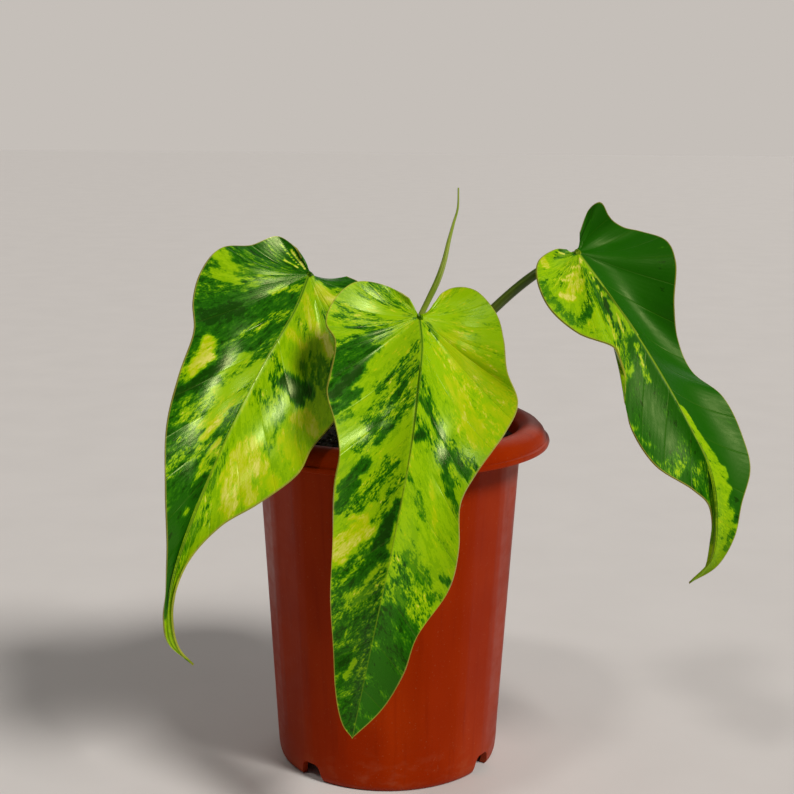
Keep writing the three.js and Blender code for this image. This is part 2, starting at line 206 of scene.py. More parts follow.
def write(piece: bpy.types.Object, name: str, values: np.ndarray) -> None:
    """Stores a number at each vertex.

    Args:
        piece: Mesh object that gets the attribute.
        name: Attribute name that its material reads.
        values: One number for each vertex.
    """
    store = piece.data.attributes.new(name, "FLOAT", "POINT")
    store.data.foreach_set("value", np.asarray(values, float).ravel())


def read(piece: bpy.types.Object, name: str) -> np.ndarray:
    """Reads a number stored at each vertex.

    Args:
        piece: Mesh object that carries the attribute.
        name: Attribute name.

    Returns:
        One number for each vertex.
    """
    values = np.empty(len(piece.data.vertices))
    piece.data.attributes[name].data.foreach_get("value", values)
    return values


def map_growth(piece: bpy.types.Object, flat: np.ndarray) -> None:
    """Writes the UV map that a pattern follows.

    Args:
        piece: Mesh object.
        flat: One pair for each vertex, in units of 100 mm.
    """
    corners = np.empty(len(piece.data.loops), np.int32)
    piece.data.loops.foreach_get("vertex_index", corners)
    layer = piece.data.uv_layers.active or piece.data.uv_layers.new()
    layer.name = "growth"
    layer.uv.foreach_set("vector", flat[corners].astype(np.float32).ravel())


def apply_modifier(piece: bpy.types.Object, kind: str, **settings: object) -> None:
    """Adds a modifier with its settings and applies it.

    Args:
        piece: Mesh object.
        kind: Modifier type.
        settings: The modifier's own settings.
    """
    only(piece)
    made = piece.modifiers.new(kind.title(), kind)
    for name, value in settings.items():
        setattr(made, name, value)
    bpy.ops.object.modifier_apply(modifier=made.name)


def merge(piece: bpy.types.Object, gap: float, cap: bool = False) -> None:
    """Merges vertices that meet, and may close the open ends.

    Args:
        piece: Mesh object.
        gap: Largest distance that is merged, in metres.
        cap: Whether open ends are filled.
    """
    only(piece)
    bpy.ops.object.mode_set(mode="EDIT")
    bpy.ops.mesh.select_all(action="SELECT")
    bpy.ops.mesh.remove_doubles(threshold=gap)
    if cap:
        bpy.ops.mesh.select_all(action="DESELECT")
        bpy.ops.mesh.select_mode(type="EDGE")
        bpy.ops.mesh.select_non_manifold(extend=False)
        bpy.ops.mesh.fill_holes(sides=0)
    bpy.ops.mesh.select_all(action="SELECT")
    bpy.ops.mesh.normals_make_consistent(inside=False)
    bpy.ops.object.mode_set(mode="OBJECT")


def smooth(piece: bpy.types.Object, angle: float) -> None:
    """Shades a piece smooth where its faces meet at less than an angle in degrees."""
    only(piece)
    bpy.ops.object.shade_smooth_by_angle(angle=math.radians(angle))


def dress(piece: bpy.types.Object, *finishes: bpy.types.Material) -> None:
    """Gives a piece its materials in order.

    Args:
        piece: Mesh object.
        finishes: Materials for its material slots.
    """
    piece.data.materials.clear()
    for finish in finishes:
        piece.data.materials.append(finish)


def stand_for(piece: bpy.types.Object, node: str | None) -> None:
    """Rides a piece on the root body and hides the CAD node that it replaces.

    Args:
        piece: The finished piece.
        node: CAD node that it replaces, or None.
    """
    deselect()
    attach(piece, "root")
    if node:
        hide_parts(node)
    LOG.info("%s: %d faces", piece.name, len(piece.data.polygons))


def ring_stack(name: str, profile: Sequence[tuple[float, float]], segments: int) -> bpy.types.Object:
    """Pulls a closed wall of revolution up ring by ring and joins its last ring to its first.

    Args:
        name: Piece name.
        profile: Radius and height of each ring, in mm from the pot's axis.
        segments: Number of vertices in a ring.

    Returns:
        The closed mesh object.
    """
    deselect()
    radius, height = profile[0]
    start = at([(0, 0, height)])[0]
    bpy.ops.mesh.primitive_circle_add(vertices=segments, radius=radius * MM, location=start)
    bpy.ops.object.mode_set(mode="EDIT")
    bpy.ops.mesh.select_mode(type="EDGE")
    bpy.ops.mesh.select_all(action="SELECT")
    for (r0, z0), (r1, z1) in pairwise(profile):
        rise = (0, 0, (z1 - z0) * MM)
        bpy.ops.mesh.extrude_region_move(TRANSFORM_OT_translate={"value": rise})
        centre = tuple(at([(0, 0, z1)])[0])
        bpy.ops.transform.resize(value=(r1 / r0, r1 / r0, 1), center_override=centre)
    bpy.ops.mesh.select_all(action="DESELECT")
    bpy.ops.mesh.select_non_manifold(extend=False)
    bpy.ops.mesh.bridge_edge_loops()
    bpy.ops.mesh.select_all(action="SELECT")
    bpy.ops.mesh.normals_make_consistent(inside=False)
    bpy.ops.object.mode_set(mode="OBJECT")
    return named(name)


def wrapped_tube(
    name: str,
    route: Sequence[Point],
    radius: Callable[[np.ndarray, np.ndarray], np.ndarray],
    sides: int,
    steps: int,
) -> bpy.types.Object:
    """Wraps a grid round a route and closes its ends.

    Args:
        name: Piece name.
        route: Points of the route, in mm from the pot's axis.
        radius: Gives the radius in mm from the share along and the turn around, 0 to 1.
        sides: Faces around.
        steps: Faces along.

    Returns:
        The closed tube, with its growth map and the attribute "along".
    """
    deselect()
    bpy.ops.mesh.primitive_grid_add(x_subdivisions=sides, y_subdivisions=steps, size=2)
    piece = named(name)
    flat = places(piece)
    turn, along = (flat[:, 0] + 1) / 2, (flat[:, 1] + 1) / 2
    centre = along_curve(route, along)
    nudge, girth = 0.004, 0.15
    before, after = np.maximum(along - nudge, 0), np.minimum(along + nudge, 1)
    ahead = unit(along_curve(route, after) - along_curve(route, before))
    side = unit(np.cross(ahead, (0.05, 1.0, 0.1)))
    lift = np.cross(side, ahead)
    angle = (2 * math.pi * turn)[:, None]
    reach = radius(along, turn)[:, None]
    place(piece, at(centre + (side * np.cos(angle) + lift * np.sin(angle)) * reach))
    length = np.linalg.norm(np.diff(along_curve(route, np.linspace(0, 1, 60)), axis=0), axis=1).sum()
    map_growth(piece, np.stack([turn * girth, along * length / 100], axis=1))
    write(piece, "along", along)
    merge(piece, 1e-5, cap=True)
    smooth(piece, 50)
    return piece


# Colours and shader nodes

# Settings that several node calls share: a multiply, a multiply and add, a soft range and a colour mix
TIMES = {"operation": "MULTIPLY"}
TIMES_PLUS = {"operation": "MULTIPLY_ADD"}
SOFT = {"interpolation_type": "SMOOTHSTEP"}
COLOUR = {"out": 2, "data_type": "RGBA"}


def linear(code: str) -> tuple[float, float, float, float]:
    """Turns an sRGB hex colour to linear light.

    Args:
        code: Colour as "#rrggbb".

    Returns:
        Linear red, green, blue and an alpha of 1.
    """
    levels = [int(code[k : k + 2], 16) / 255 for k in (1, 3, 5)]
    light = [v / 12.92 if v <= 0.04045 else ((v + 0.055) / 1.055) ** 2.4 for v in levels]
    return (light[0], light[1], light[2], 1.0)


def add(
    tree: bpy.types.NodeTree,
    kind: str,
    inputs: dict[str | int, object] | Sequence[object] = (),
    out: str | int = 0,
    stops: Sequence[tuple[float, str]] = (),
    **settings: object,
) -> bpy.types.NodeSocket | None:
    """Adds a shader node with its settings and links.

    Args:
        tree: Node tree of the material.
        kind: Node type without its "ShaderNode" head.
        inputs: Value, hex colour or output socket for each input, by name or number, or in order.
        out: Name or number of the output that is handed on.
        stops: Position and hex colour of each stop, for a colour ramp.
        settings: The node's own settings.

    Returns:
        The chosen output, or None from a node that has none.
    """
    made = tree.nodes.new("ShaderNode" + kind)
    for name, value in settings.items():
        setattr(made, name, value)
    if stops:
        ramp = made.color_ramp.elements
        for _ in range(len(stops) - len(ramp)):
            ramp.new(0.5)
        for element, (position, code) in zip(ramp, stops):
            element.position = position
            element.color = linear(code)
    for key, value in inputs.items() if isinstance(inputs, dict) else enumerate(inputs):
        if isinstance(value, bpy.types.NodeSocket):
            tree.links.new(value, made.inputs[key])
        else:
            made.inputs[key].default_value = linear(value) if isinstance(value, str) else value
    return made.outputs[out] if made.outputs else None


# Finishes


@dataclass(frozen=True)
class Pattern:
    """A natural pattern of a real size, such as mottling, flow marks, crumbs or fibres.

    Attributes:
        size_mm: Size of a blotch along each axis of the surface's coordinates.
        detail: Octaves of finer blotches.
        rough: Strength of each finer octave.
        swirl: How far the blotches are bent.
        unit_mm: Length of one unit of the coordinates: a metre, or 100 mm in a growth map.
    """

    size_mm: Point
    detail: float
    rough: float = 0.55
    swirl: float = 0.0
    unit_mm: float = 1000.0

    def lay(self, tree: bpy.types.NodeTree, source: bpy.types.NodeSocket) -> bpy.types.NodeSocket:
        """Lays the pattern on a surface.

        Args:
            tree: Node tree of the material.
            source: The surface's coordinates.

        Returns:
            The pattern's strength, 0 to 1.
        """
        scale = tuple(self.unit_mm / size for size in self.size_mm)
        spread = add(tree, "Mapping", {"Vector": source, "Scale": scale})
        look = {"Scale": 1.0, "Detail": self.detail, "Roughness": self.rough, "Distortion": self.swirl}
        return add(tree, "TexNoise", {"Vector": spread, **look})


@dataclass(frozen=True)
class Finish:
    """What all finishes share: a name and the step from a painted surface to a material."""

    name: str

    def material(self) -> bpy.types.Material:
        """Builds the material.

        Returns:
            The material, named for what the real surface is.
        """
        made = bpy.data.materials.new(self.name)
        made.use_nodes = True
        made.node_tree.nodes.clear()
        shader = add(made.node_tree, "BsdfPrincipled", self.surface(made.node_tree))
        add(made.node_tree, "OutputMaterial", {"Surface": shader})
        return made

    def surface(self, tree: bpy.types.NodeTree) -> dict[str, object]:
        """Paints the surface; each finish has its own.

        Args:
            tree: Node tree of the material.

        Returns:
            Value or output for each shader input.
        """
        raise NotImplementedError


@dataclass(frozen=True)
class MouldedPolypropylene(Finish):
    """Injection-moulded polypropylene coloured terracotta: even colour, soft satin gloss, faint flow marks.

    Its haze is warm rather than white, and a little dust clings to the foot.
    """

    name: str = "moulded_polypropylene"
    ior: float = 1.49
    body: str = "#902400"
    warm: str = "#9c2d02"
    deep: str = "#7e1b00"
    dust: str = "#b57a58"
    haze: str = "#ff8c4a"
    haze_level: float = 0.12
    dustiness: float = 0.14
    foot_mm: float = 26.0
    cloud: Pattern = Pattern((38, 38, 60), 2)
    flow: Pattern = Pattern((3.2, 3.2, 90), 3)
    smear: Pattern = Pattern((9, 9, 5), 5)
    # Specks of dust and the mould's fine skin are under half a millimetre, drawn coarser so that they show
    speck: Pattern = Pattern((1.1, 1.1, 1.1), 2)
    peel: Pattern = Pattern((1.4, 1.4, 1.4), 2)

    def surface(self, tree: bpy.types.NodeTree) -> dict[str, object]:
        """Paints the plastic.

        Args:
            tree: Node tree of the material.

        Returns:
            Value or output for each shader input.
        """
        spot = add(tree, "TexCoord", out="Object")
        patterns = (self.cloud, self.flow, self.smear, self.speck, self.peel)
        cloud, flow, smear, speck, peel = (pattern.lay(tree, spot) for pattern in patterns)
        warmer = add(tree, "MapRange", (cloud, 0.35, 0.68, 0, 1), **SOFT)
        colour = add(tree, "Mix", {0: warmer, 6: self.body, 7: self.warm}, **COLOUR)
        flowing = add(tree, "MapRange", (flow, 0.5, 0.75, 0, 0.35), **SOFT)
        colour = add(tree, "Mix", {0: flowing, 6: colour, 7: self.deep}, **COLOUR)

        height = add(tree, "SeparateXYZ", (spot,), out=2)
        low = add(tree, "MapRange", (height, 0.0, self.foot_mm * MM, 1, 0), **SOFT)
        smeared = add(tree, "MapRange", (smear, 0.45, 0.7, 0, self.dustiness), **SOFT)
        dusty = add(tree, "Math", (low, smeared), **TIMES)
        specks = add(tree, "MapRange", (speck, 0.66, 0.72, 0, 0.16), **SOFT)
        dust = add(tree, "Math", (dusty, specks), operation="MAXIMUM")
        colour = add(tree, "Mix", {0: dust, 6: colour, 7: self.dust}, **COLOUR)

        satin = add(tree, "MapRange", (smear, 0.3, 0.7, 0.36, 0.46), **SOFT)
        waves = add(tree, "Math", (peel, 0.5, flow), **TIMES_PLUS)
        return {
            "Base Color": colour,
            "Roughness": add(tree, "Math", (dusty, 0.8, satin), **TIMES_PLUS),
            "IOR": self.ior,
            "Specular IOR Level": self.haze_level,
            "Specular Tint": self.haze,
            "Normal": add(tree, "Bump", {"Height": waves, "Strength": 0.22, "Distance": 0.0003}),
        }


@dataclass(frozen=True)
class PeatMix(Finish):
    """Damp peat and coir potting mix: dark crumbs of 2 to 5 mm with paler fibres, no gloss."""

    name: str = "peat_and_coir_mix"
    ior: float = 1.4
    roughness: float = 0.93
    damp_and_shade: str = "#17100a"
    crumb: str = "#34241a"
    fibre: str = "#6a4d33"
    crumbs_in_a_metre: float = 330.0
    fine: Pattern = Pattern((1.3, 1.3, 1.3), 5)
    strands: Pattern = Pattern((7, 0.8, 2), 2)

    def surface(self, tree: bpy.types.NodeTree) -> dict[str, object]:
        """Paints the mix.

        Args:
            tree: Node tree of the material.

        Returns:
            Value or output for each shader input.
        """
        spot = add(tree, "TexCoord", out="Object")
        fine, strands = self.fine.lay(tree, spot), self.strands.lay(tree, spot)
        crumbs = {"Vector": spot, "Scale": self.crumbs_in_a_metre, "Randomness": 1.0}
        shade = add(tree, "TexVoronoi", crumbs, out="Color")
        paler = add(tree, "MapRange", (shade, 0.2, 0.9, 0, 1), **SOFT)
        colour = add(tree, "Mix", {0: paler, 6: self.damp_and_shade, 7: self.crumb}, **COLOUR)
        fibrous = add(tree, "MapRange", (strands, 0.62, 0.7, 0, 0.7), **SOFT)
        colour = add(tree, "Mix", {0: fibrous, 6: colour, 7: self.fibre}, **COLOUR)
        # Painted shade: the low parts of the bump relief are darkened toward the mix's darkest colour
        hollow_shade = add(tree, "MapRange", (fine, 0.35, 0.6, 0.5, 0), **SOFT)
        colour = add(tree, "Mix", {0: hollow_shade, 6: colour, 7: self.damp_and_shade}, **COLOUR)
        relief = add(tree, "Math", (shade.node.outputs["Distance"], -0.8, fine), **TIMES_PLUS)
        return {
            "Base Color": colour,
            "Roughness": self.roughness,
            "IOR": self.ior,
            "Normal": add(tree, "Bump", {"Height": relief, "Strength": 0.8, "Distance": 0.0012}),
        }


@dataclass(frozen=True)
class LooseBit(Finish):
    """A dry bit in the mix, such as bark or expanded perlite: matt and pitted."""

    name: str
    pale: str
    dark: str
    grain_mm: float
    ior: float = 1.45
    roughness: float = 0.9
    tint: Pattern = Pattern((9, 9, 9), 1)

    def surface(self, tree: bpy.types.NodeTree) -> dict[str, object]:
        """Paints the bit.

        Args:
            tree: Node tree of the material.

        Returns:
            Value or output for each shader input.
        """
        spot = add(tree, "TexCoord", out="Object")
        pits = Pattern((self.grain_mm, self.grain_mm, self.grain_mm * 0.6), 4).lay(tree, spot)
        # Partly the bit's own tone and partly painted shade: it is dark in the low parts of its pits and
        # pale on the rises
        paler = add(tree, "MapRange", (pits, 0.35, 0.65, 0, 1), **SOFT)
        colour = add(tree, "Mix", {0: paler, 6: self.dark, 7: self.pale}, **COLOUR)
        darker = add(tree, "MapRange", (self.tint.lay(tree, spot), 0.4, 0.7, 0, 0.5), **SOFT)
        return {
            "Base Color": add(tree, "Mix", {0: darker, 6: colour, 7: self.dark}, **COLOUR),
            "Roughness": self.roughness,
            "IOR": self.ior,
            "Normal": add(tree, "Bump", {"Height": pits, "Strength": 0.7, "Distance": 0.0004}),
        }


@dataclass(frozen=True)
class WaxyStalk(Finish):
    """Stalk skin under a thin cuticle: fine lengthwise lines, pale streaks where cells lost their green."""

    name: str
    skin: str
    tint: str
    streak: str
    streaked: float = 0.35
    base_brown: float = 0.5
    brown: str = "#5b4a22"
    ior: float = 1.42
    lines: Pattern = Pattern((100 / 90, 20, 100), 3, rough=0.5, unit_mm=100)
    mottle: Pattern = Pattern((9, 9, 14), 3)

    def surface(self, tree: bpy.types.NodeTree) -> dict[str, object]:
        """Paints the skin.

        Args:
            tree: Node tree of the material.

        Returns:
            Value or output for each shader input.
        """
        lines = self.lines.lay(tree, add(tree, "UVMap", uv_map="growth"))
        mottle = self.mottle.lay(tree, add(tree, "TexCoord", out="Object"))
        along = add(tree, "Attribute", out="Fac", attribute_name="along")
        tinted = add(tree, "MapRange", (mottle, 0.35, 0.65, 0, 1), **SOFT)
        colour = add(tree, "Mix", {0: tinted, 6: self.skin, 7: self.tint}, **COLOUR)
        pale = add(tree, "MapRange", (lines, 0.52, 0.62, 0, self.streaked), **SOFT)
        colour = add(tree, "Mix", {0: pale, 6: colour, 7: self.streak}, **COLOUR)
        dried = add(tree, "MapRange", (along, 0.0, 0.18, self.base_brown, 0), **SOFT)
        return {
            "Base Color": add(tree, "Mix", {0: dried, 6: colour, 7: self.brown}, **COLOUR),
            "Roughness": add(tree, "MapRange", (mottle, 0.3, 0.7, 0.3, 0.42), **SOFT),
            "IOR": self.ior,
            "Normal": add(tree, "Bump", {"Height": lines, "Strength": 0.3, "Distance": 0.0002}),
        }


class Face(Enum):
    """Which side of a blade a finish is for."""

    UPPER = "upper"
    UNDER = "under"


@dataclass(frozen=True)
class LeafCuticle(Finish):
    """Living leaf blade under a waxy cuticle: glossy above, matt and paler below.

    Its green lies in torn patches that follow the side veins, because each patch grew from one cell line.
    """

    name: str
    face: Face
    ior: float = 1.42
    gloss: float = 0.25
    shine: float = 0.42
    haze: str = "#dcee9c"
    deep: str = "#0f3f00"
    green: str = "#195a00"
    leafy: str = "#2a6e00"
    mid: str = "#4b8500"
    lime: str = "#7eae00"
    bright: str = "#90bc00"
    yellow: str = "#b4c400"
    cream: str = "#d9d566"
    rib: str = "#7f9d18"
    core: str = "#2f6a00"
    edge: str = "#a39a3a"
    under: str = "#8fae58"
    drift: float = 0.16
    coarse_tear: float = 1.25
    fine_tear: float = 1.9
    cream_tear: float = 1.4
    minor_veins: float = 7.0
    rib_mm: tuple[float, float] = (0.95, -0.1)
    patch: Pattern = Pattern((7.5, 4.6, 100), 4, rough=0.62, swirl=0.35, unit_mm=100)
    fleck: Pattern = Pattern((2.7, 1.8, 100), 3, rough=0.62, swirl=0.35, unit_mm=100)
    speck: Pattern = Pattern((1.2, 0.9, 100), 2, rough=0.62, swirl=0.35, unit_mm=100)
    # Real leaf cells are about 0.05 mm and wouldn't show, so they are drawn as coarse as needed
    cells: Pattern = Pattern((0.9, 0.9, 100), 2, rough=0.62, swirl=0.35, unit_mm=100)

    def tones(self) -> list[tuple[float, str]]:
        """Steps from the deepest green to the palest tissue, flat within each tone.

        Returns:
            Position and colour of each stop.
        """
        flats = (
            (0.0, 0.19, self.deep), (0.22, 0.33, self.green), (0.36, 0.43, self.leafy),
            (0.45, 0.52, self.mid), (0.545, 0.62, self.lime), (0.65, 0.72, self.bright),
        )
        steps = [(position, tone) for start, end, tone in flats for position in (start, end)]
        return [*steps, (0.80, self.yellow), (1.0, self.cream)]

    def surface(self, tree: bpy.types.NodeTree) -> dict[str, object]:
        """Paints one face of the blade.

        Args:
            tree: Node tree of the material.

        Returns:
            Value or output for each shader input.
        """
        growth = add(tree, "UVMap", uv_map="growth")
        tone, torn, creamy, vein, across, margin, along = (
            add(tree, "Attribute", out="Fac", attribute_name=name)
            for name in ("tone", "torn", "creamy", "vein", "across", "margin", "along")
        )
        patterns = (self.patch, self.fleck, self.speck, self.cells)
        patch, fleck, speck, cells = (pattern.lay(tree, growth) for pattern in patterns)

        # The variegation: each place's tone, moved by noise where its tissue is torn
        wander = add(tree, "Math", (patch, 0.5), operation="SUBTRACT")
        both = add(tree, "Math", (fleck, speck), operation="ADD")
        small = add(tree, "Math", (both, 0.5, -0.5), **TIMES_PLUS)
        coarse = add(tree, "Math", (wander, self.coarse_tear), **TIMES)
        tear = add(tree, "Math", (small, self.fine_tear, coarse), **TIMES_PLUS)
        drifted = add(tree, "Math", (wander, self.drift, tone), **TIMES_PLUS)
        moved = add(tree, "Math", (tear, torn, drifted), **TIMES_PLUS)
        colour = add(tree, "ValToRGB", (moved,), stops=self.tones())
        creamed = add(tree, "Math", (small, self.cream_tear, creamy), **TIMES_PLUS)
        pale = add(tree, "MapRange", (creamed, 0.5, 0.66, 0, 0.85), **SOFT)
        colour = add(tree, "Mix", {0: pale, 6: colour, 7: self.cream}, **COLOUR)

        # Side veins, the midrib with its core, and the thin dry margin
        gap = add(tree, "Math", (vein, 0.5), operation="PINGPONG")
        line = add(tree, "MapRange", (gap, 0.0, 0.03, 1, 0), **SOFT)
        faint = add(tree, "Math", (line, 0.06), **TIMES)
        colour = add(tree, "Mix", {0: faint, 6: colour, 7: self.rib}, **COLOUR)
        width = add(tree, "MapRange", (along, 0.35, 0.97, *self.rib_mm), **SOFT)
        apart = add(tree, "Math", (across,), operation="ABSOLUTE")
        inside = add(tree, "Math", (width, apart), operation="SUBTRACT")
        for share, tint in (((-0.35, 0.15, 0, 0.7), self.rib), ((0.38, 0.62, 0, 0.85), self.core)):
            shown = add(tree, "MapRange", (inside, *share), **SOFT)
            colour = add(tree, "Mix", {0: shown, 6: colour, 7: tint}, **COLOUR)
        on_edge = add(tree, "MapRange", (margin, 0.15, 0.55, 0.7, 0), **SOFT)
        colour = add(tree, "Mix", {0: on_edge, 6: colour, 7: self.edge}, **COLOUR)
        if self.face is Face.UNDER:
            colour = add(tree, "Mix", {0: 0.34, 6: colour, 7: self.under}, **COLOUR)

        # Relief too fine for the mesh: minor veins, cells and the lines of the side veins
        finer = add(tree, "Math", (vein, self.minor_veins), **TIMES)
        minor = add(tree, "Math", (finer, 0.5), operation="PINGPONG")
        relief = add(tree, "Math", (cells, 0.35), **TIMES)
        for part, height in ((minor, 0.22), (line, -0.8)):
            relief = add(tree, "Math", (part, height, relief), **TIMES_PLUS)
        return {
            "Base Color": colour,
            "Roughness": add(tree, "MapRange", (patch, 0.3, 0.7, self.gloss, self.gloss + 0.12), **SOFT),
            "IOR": self.ior,
            "Specular IOR Level": self.shine,
            "Specular Tint": self.haze,
            "Normal": add(tree, "Bump", {"Height": relief, "Strength": 0.32, "Distance": 0.0004}),
        }


@dataclass(frozen=True)
class MattPaperFloor(Finish):
    """Matt pale studio paper: nearly even, with a fine tooth."""

    name: str = "matt_paper_floor"
    pale: str = "#d9d6d4"
    grey: str = "#d1cecc"
    roughness: float = 0.7
    tooth: Pattern = Pattern((60, 60, 60), 3)

    def surface(self, tree: bpy.types.NodeTree) -> dict[str, object]:
        """Paints the paper.

        Args:
            tree: Node tree of the material.

        Returns:
            Value or output for each shader input.
        """
        tooth = self.tooth.lay(tree, add(tree, "TexCoord", out="Object"))
        colour = add(tree, "Mix", {0: tooth, 6: self.pale, 7: self.grey}, **COLOUR)
        return {"Base Color": colour, "Roughness": self.roughness}


# The pot


@dataclass
class Pot:
    """Tall moulded pot with flat panels, a rolled lip, notches in its foot and drain holes in its base.

    Attributes:
        wall: Thickness of the wall.
        wall_start: Radius and height where the straight wall begins.
        wall_end: Radius and height where it ends under the lip.
        base_top: Height of the floor inside.
        panels: Number of flat panels around the wall.
        panel_turn: Direction of the first panel, in degrees from the front.
        panel_half: Half the flat width of a panel, in degrees; the rest is its soft border.
        panel_fade_low: Height over which the panels grow out of the round foot.
        panel_fade_high: Height over which they fade into the round lip.
        segments: Vertices in each ring.
        notch_turns: Direction of each notch in the foot, in degrees from the first panel.
        notch_floor: Width of a notch at the floor; notch_top is its width at the top.
        notch_ring: Radius at which a notch cuts through the foot.
        drain_ring: Radius of the ring of drain holes around the one in the middle.
    """

    wall: float = 2.0
    wall_start: tuple[float, float] = (53.1, 9.0)
    wall_end: tuple[float, float] = (62.0, 158.0)
    base_top: float = 11.2
    panels: int = 18
    panel_turn: float = 8.0
    panel_half: float = 7.5
    panel_fade_low: float = 15.0
    panel_fade_high: float = 8.0
    segments: int = 360
    notch_turns: tuple[float, ...] = (-50, 50, 130, 230)
    notch_height: float = 8.0
    notch_floor: float = 18.4
    notch_top: float = 9.0
    notch_corner: float = 2.2
    notch_ring: float = 51.0
    notch_depth: float = 16.0
    drain_radius: float = 4.5
    drain_ring: float = 30.0
    drain_count: int = 6
    bore_heights: tuple[float, ...] = (14, 30, 50, 75, 100, 125, 142, 150, 155)
    wall_heights: tuple[float, ...] = (
        158, 156.5, 155, 153.5, 152, 150.5, 149, 146, *range(140, 20, -8), 20, 17, 14, 11.5, 9,
    )
    lip_over: tuple[tuple[float, float], ...] = (
        (60.0, 158), (60.1, 160.4), (60.9, 161.9), (62.6, 163.2), (65, 164), (67.5, 163.7), (70, 162.4),
        (72.1, 160.2), (73.3, 157.6), (73.5, 156.7), (74.7, 156.3), (75.0, 155.3), (74.7, 154.2),
        (74.2, 154.0),
    )
    lip_under: tuple[tuple[float, float], ...] = (
        (72.9, 154), (72.3, 157.4), (70.6, 160), (67.6, 161.6), (64.8, 161.8), (62.7, 160.6),
    )
    foot: tuple[tuple[float, float], ...] = ((52.9, 6), (52.5, 2.8), (51.9, 0.9), (50.9, 0), (48.5, 0))

    def wall_radius(self, height: float | np.ndarray) -> float | np.ndarray:
        """Outer radius of the round wall at a height, in mm."""
        (r0, z0), (r1, z1) = self.wall_start, self.wall_end
        return r0 + (r1 - r0) * (height - z0) / (z1 - z0)

    def profile(self) -> list[tuple[float, float]]:
        """Runs up the bore, over the lip, down the wall and under the base.

        Returns:
            Radius and height of each ring, in mm.
        """
        bore = [(self.wall_radius(z) - self.wall, z) for z in self.bore_heights]
        corner = self.wall_radius(self.base_top) - self.wall
        inside = [(self.drain_radius, self.base_top), (20, self.base_top), (40, self.base_top)]
        inside += [(corner - 2.0, self.base_top), (corner - 0.5, self.base_top + 0.6), *bore]
        outside = [(self.wall_radius(z), z) for z in self.wall_heights]
        foot_radius, low = self.wall_start
        under = [(foot_radius - self.wall - 0.3, low), (30, low), (self.drain_radius, low)]
        return [*inside, *self.lip_over, *self.lip_under, *outside, *self.foot, *under]

    def flatten_panels(self, piece: bpy.types.Object) -> None:
        """Presses the outer wall into flat panels with soft borders.

        Args:
            piece: The round pot.
        """
        points = places(piece)
        x, y, height = ((points - AXIS) / MM).T
        low, high = self.wall_start[1], self.wall_end[1]
        near_wall = np.abs(np.hypot(x, y) - self.wall_radius(height)) < self.wall / 2
        on_wall = near_wall & (height > low - 0.1) & (height < high + 0.1)
        angle = np.degrees(np.arctan2(x, -y))
        pitch = 360 / self.panels
        local = (angle - self.panel_turn + pitch / 2) % pitch - pitch / 2
        fade = np.minimum((height - low) / self.panel_fade_low, (high - height) / self.panel_fade_high)
        depth = np.clip(fade, 0, 1)
        edge = math.cos(math.radians(self.panel_half))
        factor = np.where(np.abs(local) < self.panel_half, edge / np.cos(np.radians(local)), 1.0)
        factor = 1 + (factor - 1) * depth
        points[on_wall, :2] = AXIS[:2] + (points[on_wall, :2] - AXIS[:2]) * factor[on_wall, None]
        place(piece, points)

    def notch_cutter(self, turn: float) -> bpy.types.Object:
        """Makes a slope-sided arch that cuts one notch.

        Args:
            turn: Direction of the notch in degrees from the front.

        Returns:
            The cutter.
        """
        deselect()
        size = (self.notch_floor * MM, self.notch_depth * MM, 2 * self.notch_height * MM)
        bpy.ops.mesh.primitive_cube_add(size=1, scale=size)
        cutter = named("notch_cutter")
        bpy.ops.object.mode_set(mode="EDIT")
        bpy.ops.mesh.select_all(action="DESELECT")
        bpy.ops.object.mode_set(mode="OBJECT")
        for edge in cutter.data.edges:
            ends = [cutter.data.vertices[v].co for v in edge.vertices]
            edge.select = all(p.z > 0 for p in ends) and abs(ends[0].x - ends[1].x) < 1e-6
        for face in cutter.data.polygons:
            face.select = False
        bpy.ops.object.mode_set(mode="EDIT")
        bpy.ops.mesh.select_mode(type="EDGE")
        narrower = (self.notch_top / self.notch_floor, 1, 1)
        bpy.ops.transform.resize(value=narrower, center_override=(0, 0, 0))
        bpy.ops.mesh.bevel(offset=self.notch_corner * MM, segments=4, affect="EDGES")
        bpy.ops.object.mode_set(mode="OBJECT")
        angle = math.radians(turn + self.panel_turn)
        spot = at([(self.notch_ring * math.sin(angle), -self.notch_ring * math.cos(angle), 0)])[0]
        cutter.matrix_world = Matrix.Translation(spot) @ Matrix.Rotation(angle, 4, "Z")
        bpy.ops.object.transform_apply(location=True, rotation=True, scale=True)
        return cutter

    def drain_cutter(self, number: int) -> bpy.types.Object:
        """Makes a round cutter for one drain hole of the base.

        Args:
            number: Place of the hole around the ring.

        Returns:
            The cutter.
        """
        deselect()
        angle = 2 * math.pi * number / self.drain_count
        spot = at([(self.drain_ring * math.sin(angle), -self.drain_ring * math.cos(angle), 10)])[0]
        size = {"radius": self.drain_radius * MM, "depth": 8 * MM}
        bpy.ops.mesh.primitive_cylinder_add(vertices=32, location=spot, **size)
        return named("drain_cutter")

    def build(self) -> None:
        """Builds and dresses the pot."""
        piece = ring_stack("pot_shell", self.profile(), self.segments)
        self.flatten_panels(piece)
        cutters = [self.notch_cutter(turn) for turn in self.notch_turns]
        cutters += [self.drain_cutter(number) for number in range(self.drain_count)]
        for cutter in cutters:
            apply_modifier(piece, "BOOLEAN", operation="DIFFERENCE", solver="EXACT", object=cutter)
            bpy.data.objects.remove(cutter)
        smooth(piece, 38)
        dress(piece, MouldedPolypropylene().material())
        stand_for(piece, "pot")


# The potting mix and what lies in it


